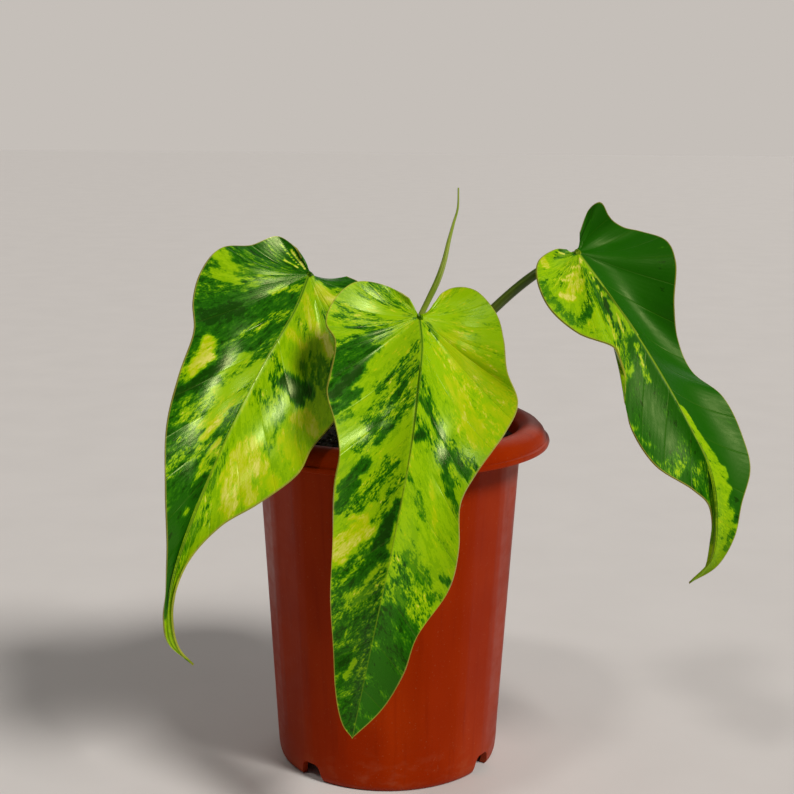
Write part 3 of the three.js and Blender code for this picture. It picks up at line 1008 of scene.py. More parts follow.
@dataclass
class PottingMix:
    """The body of potting mix, with bark, peat and perlite lying in its crumbly top.

    Attributes:
        edge: Height of the top at the wall.
        crown: Height of the top in the middle.
        bottom: Height of the underside, just above the pot's base.
        clearance: Gap to the pot's wall.
        hole_radius: Radius of the plain hole for the stem.
        stem_y: How far behind the pot's axis the stem stands.
        dome_radius: Radius over which the top falls from crown to edge.
        sunk: How far the crumbly top is lowered, so that its crumbs stay within the solid's height.
        scatter_radius: Radius within which loose bits lie.
        scatter_limit: Radius that no loose bit reaches past.
        top_rings: Rings of vertices in the crumbly top.
    """

    edge: float = 155.0
    crown: float = 157.2
    bottom: float = 11.5
    clearance: float = 0.3
    hole_radius: float = 7.3
    hole_floor: float = 109.7
    stem_y: float = 4.0
    dome_radius: float = 59.0
    lump_mm: float = 9.0
    lump_height: float = 0.63
    crumb_mm: float = 1.7
    crumb_height: float = 0.8
    sunk: float = 0.4
    scatter_radius: float = 57.5
    scatter_limit: float = 57.8
    top_rings: int = 46
    segments: int = 180
    seed: int = 7

    def surface(self, x: float, y: float) -> float:
        """Height of the mix at a place, in mm.

        Args:
            x: Place across, in mm from the pot's axis.
            y: Place in depth, in mm.

        Returns:
            The height.
        """
        share = min(math.hypot(x, y) / self.dome_radius, 1.0)
        dome = self.edge + (self.crown - self.edge) * (1 - share**2)
        lumps = noise.fractal(Vector((x, y, 3.0)) / self.lump_mm, 0.7, 2.1, 4) * self.lump_height
        crumbs = abs(noise.noise(Vector((x, y, 9.0)) / self.crumb_mm)) * self.crumb_height
        return dome + lumps + crumbs - self.sunk

    def build_body(self, pot: Pot) -> None:
        """Builds the mix from the pot's base to its crumbly top.

        Args:
            pot: The pot that holds it.
        """
        low = pot.wall_radius(self.bottom) - pot.wall - self.clearance
        high = pot.wall_radius(self.edge) - pot.wall - self.clearance
        rings = np.linspace(high - 0.6, self.hole_radius + 0.3, self.top_rings)
        profile = [(r, self.bottom) for r in (0.4, 30, low - 1.5)] + [(low, self.bottom + 1.5)]
        rise = self.edge - 3.0 - self.bottom
        profile += [(low + (high - low) * share, self.bottom + rise * share) for share in (0.3, 0.6, 0.99)]
        top_start = len(profile)
        profile += [(radius, self.edge) for radius in rings]
        top_end = len(profile)
        profile += [(self.hole_radius, z) for z in (150, 130, self.hole_floor)]
        profile += [(r, self.hole_floor) for r in (3.0, 0.4)]
        piece = ring_stack("potting_mix", profile, self.segments)
        points = (places(piece) - AXIS) / MM
        ring = np.arange(len(points)) // self.segments
        for k, point in enumerate(points):
            if ring[k] >= top_start:
                inward = min(1.0, (ring[k] - top_start) / (top_end - top_start))
                point[1] += self.stem_y * inward
            if top_start <= ring[k] < top_end:
                point[2] = self.surface(point[0], point[1])
        place(piece, at(points))
        merge(piece, 1e-6)
        smooth(piece, 60)
        dress(piece, PeatMix().material())
        stand_for(piece, "soil")

    def scatter(
        self, name: str, finish: LooseBit, count: int, size: tuple[float, float], slim: float
    ) -> None:
        """Models one loose bit and lays copies of it on the mix, as one piece.

        Args:
            name: Piece name.
            finish: The bit's finish.
            count: Number of copies.
            size: Smallest and largest size, in mm.
            slim: Thickness as a share of the length.
        """
        deselect()
        bpy.ops.mesh.primitive_ico_sphere_add(subdivisions=1, radius=0.5)
        bit = named(name)
        shape = places(bit)
        faces = [tuple(face.vertices) for face in bit.data.polygons]
        rng = np.random.default_rng(self.seed + count)
        verts, polys = [], []
        while len(verts) < count:
            radius, angle = self.scatter_radius * math.sqrt(rng.random()), rng.random() * 2 * math.pi
            x, y = radius * math.sin(angle), -radius * math.cos(angle)
            length = rng.uniform(*size)
            in_hole = math.hypot(x, y - self.stem_y) < self.hole_radius + length
            if in_hole or radius + length / 2 > self.scatter_limit:
                continue
            facing = Matrix.Rotation(rng.random() * math.pi * 2, 3, "Z")
            turn = facing @ Matrix.Rotation(rng.normal(0, 0.3), 3, "X")
            knocked = shape * (1 + rng.uniform(-0.22, 0.22, shape.shape))
            sized = knocked * np.array([length, length * rng.uniform(0.5, 0.9), length * slim])
            spot = np.array([x, y, self.surface(x, y) + length * slim * 0.15])
            polys += [tuple(v + len(verts) * len(shape) for v in face) for face in faces]
            verts.append(sized @ np.array(turn).T + spot)
        bit.data.clear_geometry()
        bit.data.from_pydata(at(np.vstack(verts)), [], polys)
        smooth(bit, 25)
        dress(bit, finish.material())
        stand_for(bit, None)

    def build(self, pot: Pot) -> None:
        """Builds the mix and its loose bits.

        Args:
            pot: The pot that holds it.
        """
        self.build_body(pot)
        bark = LooseBit("composted_bark", "#4d3421", "#1f140c", 1.6)
        peat = LooseBit("peat_crumb", "#33241a", "#130c07", 1.0)
        perlite = LooseBit("expanded_perlite", "#dcd8cd", "#a39d90", 0.7)
        self.scatter("bark_crumbs", bark, 420, (1.6, 4.6), 0.45)
        self.scatter("peat_crumbs", peat, 700, (0.9, 2.4), 0.8)
        self.scatter("perlite_grit", perlite, 90, (1.0, 2.4), 0.8)


# Stem, stalks and the rolled new leaf


@dataclass
class Stem:
    """Short ringed stem that the stalks leave from, standing in a plain hole in the mix.

    Attributes:
        bare: Height from which the stem shows above the mix.
        ringed: Height from which growth rings swell it.
        ring_gap: Height between modelled rings, and the half width of a leaf scar.
        girth: Width that the growth map gives to one turn, in units of 100 mm.
        scars: Height of each leaf scar.
    """

    centre_y: float = 4.0
    radius: float = 7.0
    bottom: float = 110.0
    top: float = 176.0
    bare: float = 150.0
    ringed: float = 154.0
    ring_gap: float = 0.5
    girth: float = 0.4
    scars: tuple[float, ...] = (160.0, 165.5, 170.5)

    def build(self) -> None:
        """Builds and dresses the stem."""
        ringed = np.arange(self.ringed, 171.5, self.ring_gap)
        heights = [self.bottom, 111, 125, 140, self.bare, *ringed, 173, 174.5]
        rings = [(0.3, self.bottom)]
        for height in heights:
            scar = sum(math.exp(-(((height - mark) / self.ring_gap) ** 2)) for mark in self.scars)
            swell = 0.12 * math.sin((height - self.ringed) * 1.15) if height > self.ringed else 0.0
            chamfer = 0.8 if height == self.bottom else 0.0
            rings.append((self.radius - 0.25 + swell + 0.4 * scar - chamfer, height))
        rings += [(self.radius - 1.2, 175.4), (self.radius - 3.2, self.top), (0.3, self.top + 0.1)]
        piece = ring_stack("stem_cane", rings, 64)
        points = places(piece)
        points[:, 1] += self.centre_y * MM
        place(piece, points)
        flat = (points - AXIS) / MM
        write(piece, "along", np.clip((flat[:, 2] - self.bare) / (self.top - self.bare), 0, 1))
        turn = np.arctan2(flat[:, 0], flat[:, 1] - self.centre_y) / (2 * math.pi)
        map_growth(piece, np.stack([turn * self.girth, flat[:, 2] / 100], axis=1))
        merge(piece, 1e-6)
        smooth(piece, 50)
        finish = WaxyStalk("stem_epidermis", "#56741c", "#6b8526", "#a0aa54", 0.45, 0.9)
        dress(piece, finish.material())
        stand_for(piece, "stem")


@dataclass
class Petiole:
    """A leaf stalk: clasping foot, round shaft with a shallow channel, slight swelling under the blade.

    Attributes:
        side: Which leaf it carries.
        route: Points from the stem to the blade.
        finish: The skin.
        base_radius: Radius where it clasps the stem.
        radius: Radius above its foot.
        tip_radius: Radius under the blade.
        flare: Half the share of the length over which the foot narrows.
    """

    side: Side
    route: tuple[Point, ...]
    finish: WaxyStalk
    base_radius: float = 3.7
    radius: float = 2.5
    tip_radius: float = 2.2
    flare: float = 0.16

    def radius_at(self, along: np.ndarray, turn: np.ndarray) -> np.ndarray:
        """Radius along and around the stalk.

        Args:
            along: Share of the length.
            turn: Share of a turn.

        Returns:
            Radius in mm.
        """
        shaft = self.radius + (self.tip_radius - self.radius) * along
        foot = (self.base_radius - self.radius) * (1 - smoothstep(0, 2 * self.flare, along))
        groove = 0.1 * np.clip(np.cos(2 * np.pi * (turn - 0.25)), 0, 1) ** 6
        channel = groove * (1 - smoothstep(0.2, 0.6, along))
        knee = 0.12 * np.exp(-(((along - 0.93) / 0.05) ** 2))
        return (shaft + foot) * (1 - channel) + knee

    def build(self) -> None:
        """Builds and dresses the stalk."""
        piece = wrapped_tube(f"petiole_skin_{self.side.value}", self.route, self.radius_at, 32, 96)
        dress(piece, self.finish.material())
        stand_for(piece, f"petiole_{self.side.value}")


@dataclass
class NewLeaf:
    """The next leaf, still rolled: a slim sheath with a spiral seam that ends in a drawn-out tip.

    Attributes:
        route: Points from the stem to the tip.
        seam: Height of the step at the seam, as a share of the radius.
        seam_start: Share of a turn where the roll's outer edge ends.
        turns: Turns that the seam makes around the roll.
    """

    route: tuple[Point, ...] = (
        (0, 4.5, 172), (4.5, 5.5, 186), (9.5, 6, 200), (13.8, 6, 210.5), (17.9, 6, 219.4), (22, 6, 228.8),
        (24.8, 6, 237.7), (26.7, 6, 246.5), (28.7, 6, 254.4), (30.6, 6, 261.5), (30.8, 6, 271),
    )
    base_radius: float = 2.2
    radius: float = 1.65
    tip_radius: float = 0.45
    seam: float = 0.22
    seam_start: float = 0.94
    turns: float = 0.8

    def radius_at(self, along: np.ndarray, turn: np.ndarray) -> np.ndarray:
        """Radius along and around the roll, with a step where the outer turn ends.

        Args:
            along: Share of the length.
            turn: Share of a turn.

        Returns:
            Radius in mm.
        """
        body = self.base_radius + (self.radius - self.base_radius) * smoothstep(0, 0.45, along)
        body += (self.tip_radius - self.radius) * smoothstep(0.5, 1, along)
        lap = (turn + self.turns * along) % 1
        closed = np.where(lap > self.seam_start, (1 - lap) / (1 - self.seam_start), lap / self.seam_start)
        return body * (1 - self.seam * closed)

    def build(self) -> None:
        """Builds and dresses the rolled leaf."""
        piece = wrapped_tube("new_leaf_roll", self.route, self.radius_at, 40, 220)
        finish = WaxyStalk("young_leaf_cuticle", "#7f9c22", "#93ab34", "#c6cc74", 0.6, 0.25)
        dress(piece, finish.material())
        stand_for(piece, "new_leaf")


# The blades


class Tissue(Enum):
    """Sorts of leaf tissue: how pale it is, how torn into other tones, and how much of it is cream."""

    DEEP = (0.12, 0.42, 0.0)
    GREEN = (0.27, 0.46, 0.0)
    DARK = (0.28, 0.08, 0.0)
    FLECKED = (0.36, 0.72, 0.0)
    TORN = (0.48, 1.0, 0.0)
    OLIVE = (0.49, 0.22, 0.0)
    LIME_TORN = (0.60, 0.85, 0.0)
    LIME = (0.64, 0.20, 0.0)
    BRIGHT = (0.69, 0.12, 0.0)
    SUNNY = (0.76, 0.05, 0.0)
    YELLOW = (0.82, 0.22, 0.06)
    CREAM = (0.90, 0.12, 0.62)


Spot = tuple[float, float]


@dataclass(frozen=True)
class Streak:
    """A patch of one tissue along a side vein, placed in the leaf's own coordinates.

    A place is the share from midrib to margin, negative on the left half, and the share of the growth
    rows from the notch to the tip. A few streaks use a tissue's tone as painted shade or a painted
    highlight.

    Attributes:
        tissue: What the patch is made of.
        start: Place of its first end.
        end: Place of its other end.
        width: Its half width, in mm.
    """

    tissue: Tissue
    start: Spot
    end: Spot
    width: float


@dataclass(frozen=True)
class Half:
    """One half of a blade: its margin, how it arches, and how its edge waves.

    Attributes:
        fan: Share of the margin that lies beside the notch, where the rows fan out.
        camber: Arch of the lobe, the waist and the tip, as a share of the width.
        wave: Height of the waves in the edge, in mm.
        waves: Number of waves along the margin.
        phase: Where the first wave starts, in radians.
        margin: Points from the notch to the tip, in mm from the pot's axis.
    """

    fan: float
    camber: Point
    wave: float
    waves: float
    phase: float
    margin: tuple[Point, ...]


@dataclass
class Blade:
    """A hanging spade-shaped blade, grown row by row from its midrib and margins.

    Attributes:
        side: Which leaf it is.
        midrib: Points from the notch to the tip.
        ground: Tissue of the left and the right half under the streaks.
        ridge: Height of the midrib on the underside.
        fan_share: Share of the rows that fan out from the notch.
        calm_width: Width of half a blade from which its edge waves fully.
        crowding: How strongly the columns crowd toward the midrib.
        core: Colour of the midrib's core.
        veins: Number of side veins on each half.
        quilt: Height of the blade's swelling between side veins.
        gloss: Roughness of the upper face.
        shine: Strength of its haze.
        growth_mm: Length that the growth map gives to all rows together.
        fray: How torn the border of each streak is.
        ragged: How far a streak's border wanders, as a share of its width.
        solid: Share of its width within which a streak is solid.
        gone: Share of its width beyond which nothing of it is left.
        rib_calm: Distance from the midrib at which the quilting is full.
        full_quilt: Spacing of side veins from which the quilting is full.
        groove: Depth of the groove above the midrib.
    """

    side: Side
    midrib: tuple[Point, ...]
    left: Half
    right: Half
    ground: tuple[Tissue, Tissue]
    streaks: tuple[Streak, ...]
    thickness: float = 0.8
    ridge: float = 1.5
    rows: int = 230
    columns: int = 64
    fan_share: float = 18 / 44
    calm_width: float = 18.0
    crowding: float = 1.35
    core: str = "#2f6a00"
    veins: int = 15
    quilt: float = 0.34
    gloss: float = 0.21
    shine: float = 0.52
    under_gloss: float = 0.5
    growth_mm: float = 280.0
    fray: float = 0.55
    ragged: float = 0.42
    solid: float = 0.62
    gone: float = 1.15
    rib_calm: float = 6.0
    full_quilt: float = 9.0
    groove: float = 0.35
    groove_width: float = 0.9
    ridge_width: float = 1.5

    def surface(self, row: np.ndarray, across: np.ndarray) -> tuple[np.ndarray, np.ndarray]:
        """Places on the blade's middle layer.

        Args:
            row: Share of the growth rows, 0 at the notch and 1 at the tip.
            across: Share from midrib to margin, negative on the left half.

        Returns:
            The places and the width of the half there, in mm.
        """
        beyond = np.maximum(0.0, (row - self.fan_share) / (1 - self.fan_share))
        out, wide = np.zeros((len(row), 3)), np.zeros(len(row))
        for half, sign, chosen in ((self.left, -1, across < 0), (self.right, 1, across >= 0)):
            t, mid, share = row[chosen], beyond[chosen], np.abs(across[chosen])
            fanned = half.fan * t / self.fan_share
            edge = np.where(t <= self.fan_share, fanned, half.fan + (1 - half.fan) * mid)
            inner, outer = along_curve(self.midrib, mid), along_curve(half.margin, edge)
            step = 1e-3
            ahead, rib = (
                unit(along_curve(line, spot + step) - along_curve(line, spot - step))
                for line, spot in ((half.margin, edge), (self.midrib, mid))
            )
            ahead = ahead + rib * (t > self.fan_share)[:, None]
            span = outer - inner
            width = np.linalg.norm(span, axis=1)
            up = unit(np.cross(ahead, span)) * -sign
            lobe, waist, tip = half.camber
            past = np.clip((edge - half.fan) / (1 - half.fan), 0, 1)
            upper, lower = lobe + (waist - lobe) * edge / half.fan, waist + (tip - waist) * past
            arch = np.where(edge < half.fan, upper, lower)
            ripple = half.wave * np.sin(2 * np.pi * half.waves * edge + half.phase)
            ripple *= smoothstep(0, self.calm_width, width)
            lift = arch * width * np.sin(np.pi * share) + ripple * share**2
            out[chosen] = inner + span * share[:, None] + up * lift[:, None]
            wide[chosen] = width
        return out, wide

    def tissue_at(self, row: np.ndarray, across: np.ndarray, spots: np.ndarray) -> np.ndarray:
        """Lays the streaks over the ground tissue of each half.

        Args:
            row: Growth row of each vertex.
            across: Signed share across of each vertex.
            spots: Place of each vertex, in mm.

        Returns:
            Tone, tear and cream for each vertex.
        """
        left, right = (np.array(tissue.value) for tissue in self.ground)
        marks = np.where((across < 0)[:, None], left, right)
        frayed = np.zeros_like(marks)
        places_mm = [Vector(spot) for spot in spots]
        rough = np.array([noise.noise(spot / 4.5) + 0.6 * noise.noise(spot / 1.9) for spot in places_mm])
        share = np.linspace(0, 1, 9)
        for streak in self.streaks:
            u = streak.start[0] + (streak.end[0] - streak.start[0]) * share
            v = streak.start[1] + (streak.end[1] - streak.start[1]) * share
            spine, _ = self.surface(v, u)
            apart = np.linalg.norm(spots[:, None, :] - spine[None], axis=2)
            near = apart.min(axis=1) + self.ragged * streak.width * rough
            reach = 1 - smoothstep(self.solid * streak.width, self.gone * streak.width, near)
            same_half = (across >= -1e-6) if u.mean() > 0 else (across <= 1e-6)
            reach = np.where(same_half, reach, 0.0)[:, None]
            marks = marks + (np.array(streak.tissue.value) - marks) * reach
            frayed[:, 1] = np.maximum(frayed[:, 1], self.fray * (4 * reach * (1 - reach))[:, 0])
        return np.maximum(marks, frayed)

    def build(self) -> None:
        """Builds and dresses the blade."""
        deselect()
        bpy.ops.mesh.primitive_grid_add(x_subdivisions=self.columns, y_subdivisions=self.rows, size=2)
        piece = named(f"blade_{self.side.value}")
        flat = places(piece)
        row = (flat[:, 1] + 1) / 2
        across = np.sign(flat[:, 0]) * np.abs(flat[:, 0]) ** self.crowding
        spots, width = self.surface(row, across)
        nudge = 1e-3
        ahead, behind = self.surface(row + nudge, across)[0], self.surface(row - nudge, across)[0]
        spacing = np.linalg.norm(ahead - behind, axis=1) / (2 * nudge)
        place(piece, at(spots))
        map_growth(piece, np.stack([across * width / 100, row * self.growth_mm / 100], axis=1))
        share = np.abs(across)
        tone, torn, creamy = self.tissue_at(row, across, spots).T
        # Beside the notch a half is so narrow that all of it would else be coloured as dry margin
        in_notch = 1.5 * (1 - smoothstep(2, 8, width)) * (row < 0.5)
        facts = {
            "tone": tone,
            "torn": torn,
            "creamy": creamy,
            "across": across * width,
            "share": share,
            "margin": (1 - share) * width + in_notch,
            "along": row,
            "vein": row * self.veins,
            "spacing": spacing / self.veins,
            "seat": np.arange(len(row)),
        }
        for name, values in facts.items():
            write(piece, name, values)
        self.thicken(piece)
        side = self.side.value
        upper, under = (f"leaf_cuticle_{side}_{face.value}" for face in Face)
        above = LeafCuticle(upper, Face.UPPER, gloss=self.gloss, shine=self.shine, core=self.core)
        below = LeafCuticle(under, Face.UNDER, gloss=self.under_gloss)
        dress(piece, above.material(), below.material())
        stand_for(piece, f"leaf_{side}")

    def thicken(self, piece: bpy.types.Object) -> None:
        """Gives the sheet its thickness, a rib below, a groove above and quilting between side veins.

        Args:
            piece: The single sheet.
        """
        facing = normals(piece)
        upward = self.upper_side(piece)
        if np.sum(facing * upward) < 0:
            only(piece)
            bpy.ops.object.mode_set(mode="EDIT")
            bpy.ops.mesh.select_all(action="SELECT")
            bpy.ops.mesh.flip_normals()
            bpy.ops.object.mode_set(mode="OBJECT")
        middle = places(piece)
        rim = {"use_rim": True, "material_offset": 1, "material_offset_rim": 0}
        apply_modifier(piece, "SOLIDIFY", thickness=self.thickness * MM, offset=0.0, **rim)
        outward, points = normals(piece), places(piece)
        seat = np.rint(read(piece, "seat")).astype(int)
        above = np.sum((points - middle[seat]) * upward[seat], axis=1) > 0
        names = ("across", "along", "share", "spacing", "vein")
        across, row, share, spacing, vein = (read(piece, name) for name in names)
        beyond = np.maximum(0, (row - self.fan_share) / (1 - self.fan_share))
        calm = (1 - share**5) * smoothstep(0.0, self.rib_calm, np.abs(across))
        pinch = np.clip(spacing / self.full_quilt, 0, 1)
        pillow = self.quilt * pinch * calm * (np.abs(np.sin(np.pi * vein)) ** 0.8 - 0.6)
        groove = self.groove * np.exp(-((across / self.groove_width) ** 2)) * (1 - 0.6 * beyond)
        rib = self.ridge * (1 - beyond) * np.exp(-((across / self.ridge_width) ** 2))
        shift = np.where(above, pillow - groove, rib - pillow)
        place(piece, points + outward * (shift * MM)[:, None])
        merge(piece, 2e-6)
        smooth(piece, 60)

    def upper_side(self, piece: bpy.types.Object) -> np.ndarray:
        """Finds the direction out of the upper face, from the growth rows.

        Args:
            piece: The single sheet.

        Returns:
            The direction at each vertex.
        """
        row, signed, share = (read(piece, name) for name in ("along", "across", "share"))
        share = np.where(signed < 0, -share, share)
        step = 2e-3
        (before, _), (after, _), (inner, _), (outer, _) = (
            self.surface(*spot)
            for spot in (
                (np.maximum(row - step, 0), share),
                (np.minimum(row + step, 1), share),
                (row, np.maximum(share - step, -1)),
                (row, np.minimum(share + step, 1)),
            )
        )
        return unit(np.cross(outer - inner, before - after))


def streaks(*rows: tuple[Tissue, float, float, float, float, float]) -> tuple[Streak, ...]:
    """Makes streaks from their tissue, two ends and half width in mm."""
    return tuple(Streak(tissue, (u0, v0), (u1, v1), width) for tissue, u0, v0, u1, v1, width in rows)


# Short name for the tables below. Each row of streaks() is a tissue, the place across and along of either
# end, and half the width in mm; a later row lies over an earlier one. A few rows, marked, use a tissue's
# tone as painted shade or a painted highlight.
T = Tissue

LEFT_BLADE = Blade(
    side=Side.LEFT,
    midrib=(
        (-37, -8, 232), (-42, -26, 219), (-55, -50, 197), (-68, -69, 171), (-80, -83, 143), (-89, -90, 116),
        (-92, -90, 98), (-91, -87, 84), (-83, -82, 73),
    ),
    left=Half(
        0.38, (0.08, 0.08, 0.08), 1.0, 4, 0.0,
        (
            (-41, -4, 239.5), (-45.5, 0, 245.5), (-52, 1, 249), (-64, -7, 245), (-77, -22, 244),
            (-83, -34, 236), (-85, -44, 225), (-84, -53, 213), (-89, -65, 196), (-93, -75, 176),
            (-93, -84, 151), (-92, -89, 126), (-93, -90, 109), (-94, -90, 96), (-92.5, -87, 84),
            (-83, -82, 73),
        ),
    ),
    right=Half(
        0.36, (0.1, 0.12, 0.12), 1.0, 4, 2.0,
        (
            (-20, 0, 231), (-14, -5, 228), (-10, -18, 218), (-10, -36, 205), (-15, -52, 187),
            (-24, -63, 175), (-33, -73, 166), (-38, -78, 157), (-54, -84, 145), (-70, -87, 136),
            (-83, -90, 122), (-89, -91, 106), (-90, -89, 91), (-88, -86, 81), (-83, -82, 73),
        ),
    ),
    ground=(T.FLECKED, T.LIME),
    streaks=streaks(
        # upper lobe, left half
        (T.GREEN, -0.95, 0.05, -0.35, 0.06, 8),
        (T.GREEN, -0.95, 0.13, -0.35, 0.13, 8),
        (T.FLECKED, -0.95, 0.10, -0.6, 0.11, 3),
        (T.CREAM, -0.2, 0.045, -0.72, 0.052, 0.8),
        (T.CREAM, -0.3, 0.075, -0.8, 0.075, 0.6),
        (T.CREAM, -0.25, 0.10, -0.5, 0.105, 0.6),
        (T.OLIVE, -0.85, 0.17, -0.7, 0.18, 2.4),
        (T.TORN, -0.7, 0.175, -0.3, 0.17, 3),
        (T.FLECKED, -0.6, 0.21, -0.25, 0.22, 5),
        (T.LIME, -0.92, 0.235, -0.68, 0.265, 4.6),
        (T.LIME, -0.86, 0.285, -0.62, 0.300, 3.0),
        (T.OLIVE, -0.62, 0.27, -0.3, 0.28, 4),
        (T.TORN, -0.55, 0.30, -0.2, 0.31, 3),
        (T.FLECKED, -0.95, 0.33, -0.6, 0.34, 3.4),
        (T.OLIVE, -0.55, 0.345, -0.25, 0.34, 3),
        # dark shoulder
        (T.GREEN, -0.9, 0.37, -0.2, 0.38, 5),
        (T.DEEP, -0.92, 0.40, -0.6, 0.41, 5),
        (T.GREEN, -0.95, 0.44, -0.1, 0.45, 6),
        (T.LIME_TORN, -0.3, 0.40, -0.08, 0.425, 2.4),
        (T.TORN, -0.45, 0.47, -0.12, 0.47, 3.4),
        (T.GREEN, -0.4, 0.50, -0.12, 0.50, 3.4),
        # pale patch at the outer edge
        (T.YELLOW, -0.80, 0.455, -0.88, 0.505, 4.0),
        (T.CREAM, -0.72, 0.485, -0.78, 0.495, 2.0),
        (T.LIME_TORN, -0.98, 0.49, -0.9, 0.515, 2.4),
        (T.DEEP, -0.97, 0.535, -0.5, 0.520, 3.4),
        (T.GREEN, -0.7, 0.55, -0.45, 0.54, 2.4),
        (T.LIME, -0.46, 0.545, -0.28, 0.530, 2.8),
        (T.FLECKED, -0.98, 0.56, -0.75, 0.55, 2.6),
        # lime and cream streaks of the middle
        (T.TORN, -0.9, 0.60, -0.6, 0.585, 5),
        (T.LIME_TORN, -0.6, 0.60, -0.1, 0.575, 7),
        (T.BRIGHT, -0.4, 0.585, -0.06, 0.575, 3.4),
        (T.BRIGHT, -0.45, 0.62, -0.12, 0.61, 3.0),
        (T.GREEN, -0.98, 0.60, -0.8, 0.60, 2.6),
        (T.YELLOW, -0.5, 0.645, -0.25, 0.625, 2.0),
        (T.CREAM, -0.42, 0.64, -0.30, 0.632, 0.8),
        (T.YELLOW, -0.34, 0.70, -0.14, 0.675, 1.6),
        (T.CREAM, -0.30, 0.692, -0.2, 0.682, 0.6),
        (T.TORN, -0.95, 0.655, -0.5, 0.66, 4),
        (T.GREEN, -0.95, 0.69, -0.5, 0.70, 4),
        (T.LIME_TORN, -0.4, 0.725, -0.08, 0.70, 2.6),
        # dark lower third and tail
        (T.DARK, -0.95, 0.74, -0.35, 0.74, 6),
        (T.GREEN, -0.3, 0.74, -0.1, 0.73, 3),
        (T.LIME_TORN, -0.62, 0.765, -0.42, 0.755, 1.2),
        (T.DARK, -0.9, 0.80, -0.1, 0.80, 7),
        (T.DARK, -0.8, 0.87, -0.1, 0.86, 5),
        (T.LIME, -0.7, 0.915, -0.4, 0.97, 5),
        # right half
        (T.GREEN, 0.35, 0.03, 0.95, 0.04, 5),
        (T.TORN, 0.6, 0.10, 0.95, 0.14, 5),
        (T.YELLOW, 0.2, 0.2, 0.5, 0.15, 4),
        (T.CREAM, 0.35, 0.18, 0.52, 0.14, 1.4),
        (T.GREEN, 0.6, 0.26, 0.95, 0.30, 7),
        (T.TORN, 0.3, 0.33, 0.5, 0.32, 2.4),
        (T.GREEN, 0.65, 0.36, 0.95, 0.38, 6),
        (T.YELLOW, 0.06, 0.44, 0.3, 0.42, 4),
        (T.LIME_TORN, 0.1, 0.47, 0.3, 0.44, 3),
        (T.YELLOW, 0.08, 0.50, 0.25, 0.47, 3.2),
        # Painted shade: the next two olive rows darken where this half folds away from the light
        (T.OLIVE, 0.5, 0.43, 0.85, 0.42, 5),
        (T.OLIVE, 0.42, 0.47, 0.6, 0.455, 3),
        (T.CREAM, 0.38, 0.41, 0.55, 0.395, 3.0),
        (T.BRIGHT, 0.12, 0.535, 0.3, 0.515, 3),
        (T.TORN, 0.06, 0.55, 0.22, 0.540, 2.4),
        (T.DEEP, 0.14, 0.565, 0.34, 0.530, 2.0),
        (T.DEEP, 0.30, 0.530, 0.60, 0.475, 4.2),
        (T.DEEP, 0.42, 0.520, 0.60, 0.500, 3.0),
        (T.TORN, 0.12, 0.565, 0.42, 0.555, 1.8),
        (T.YELLOW, 0.66, 0.51, 0.95, 0.47, 5),
        (T.LIME, 0.80, 0.45, 0.95, 0.45, 4),
        # Painted shadow: this olive row darkens the crease of the fold
        (T.OLIVE, 0.40, 0.555, 0.60, 0.61, 2.8),
        (T.LIME_TORN, 0.10, 0.60, 0.3, 0.58, 3.0),
        (T.LIME, 0.15, 0.62, 0.42, 0.60, 4.0),
        (T.SUNNY, 0.66, 0.56, 0.95, 0.54, 6),
        (T.SUNNY, 0.62, 0.63, 0.95, 0.60, 4),
        (T.YELLOW, 0.38, 0.630, 0.70, 0.620, 4.0),
        (T.YELLOW, 0.32, 0.660, 0.85, 0.655, 5.6),
        (T.YELLOW, 0.30, 0.695, 0.88, 0.690, 4.0),
        (T.CREAM, 0.60, 0.625, 0.74, 0.630, 1.0),
        (T.CREAM, 0.40, 0.695, 0.76, 0.695, 1.0),
        (T.OLIVE, 0.1, 0.69, 0.16, 0.74, 2.0),
        (T.LIME_TORN, 0.25, 0.75, 0.6, 0.75, 3.4),
        (T.OLIVE, 0.2, 0.79, 0.6, 0.80, 3.0),
        (T.BRIGHT, 0.8, 0.72, 0.9, 0.80, 1.8),
        (T.LIME_TORN, 0.3, 0.83, 0.8, 0.83, 3),
        (T.LIME, 0.5, 0.88, 0.5, 0.98, 5),
    ),
)

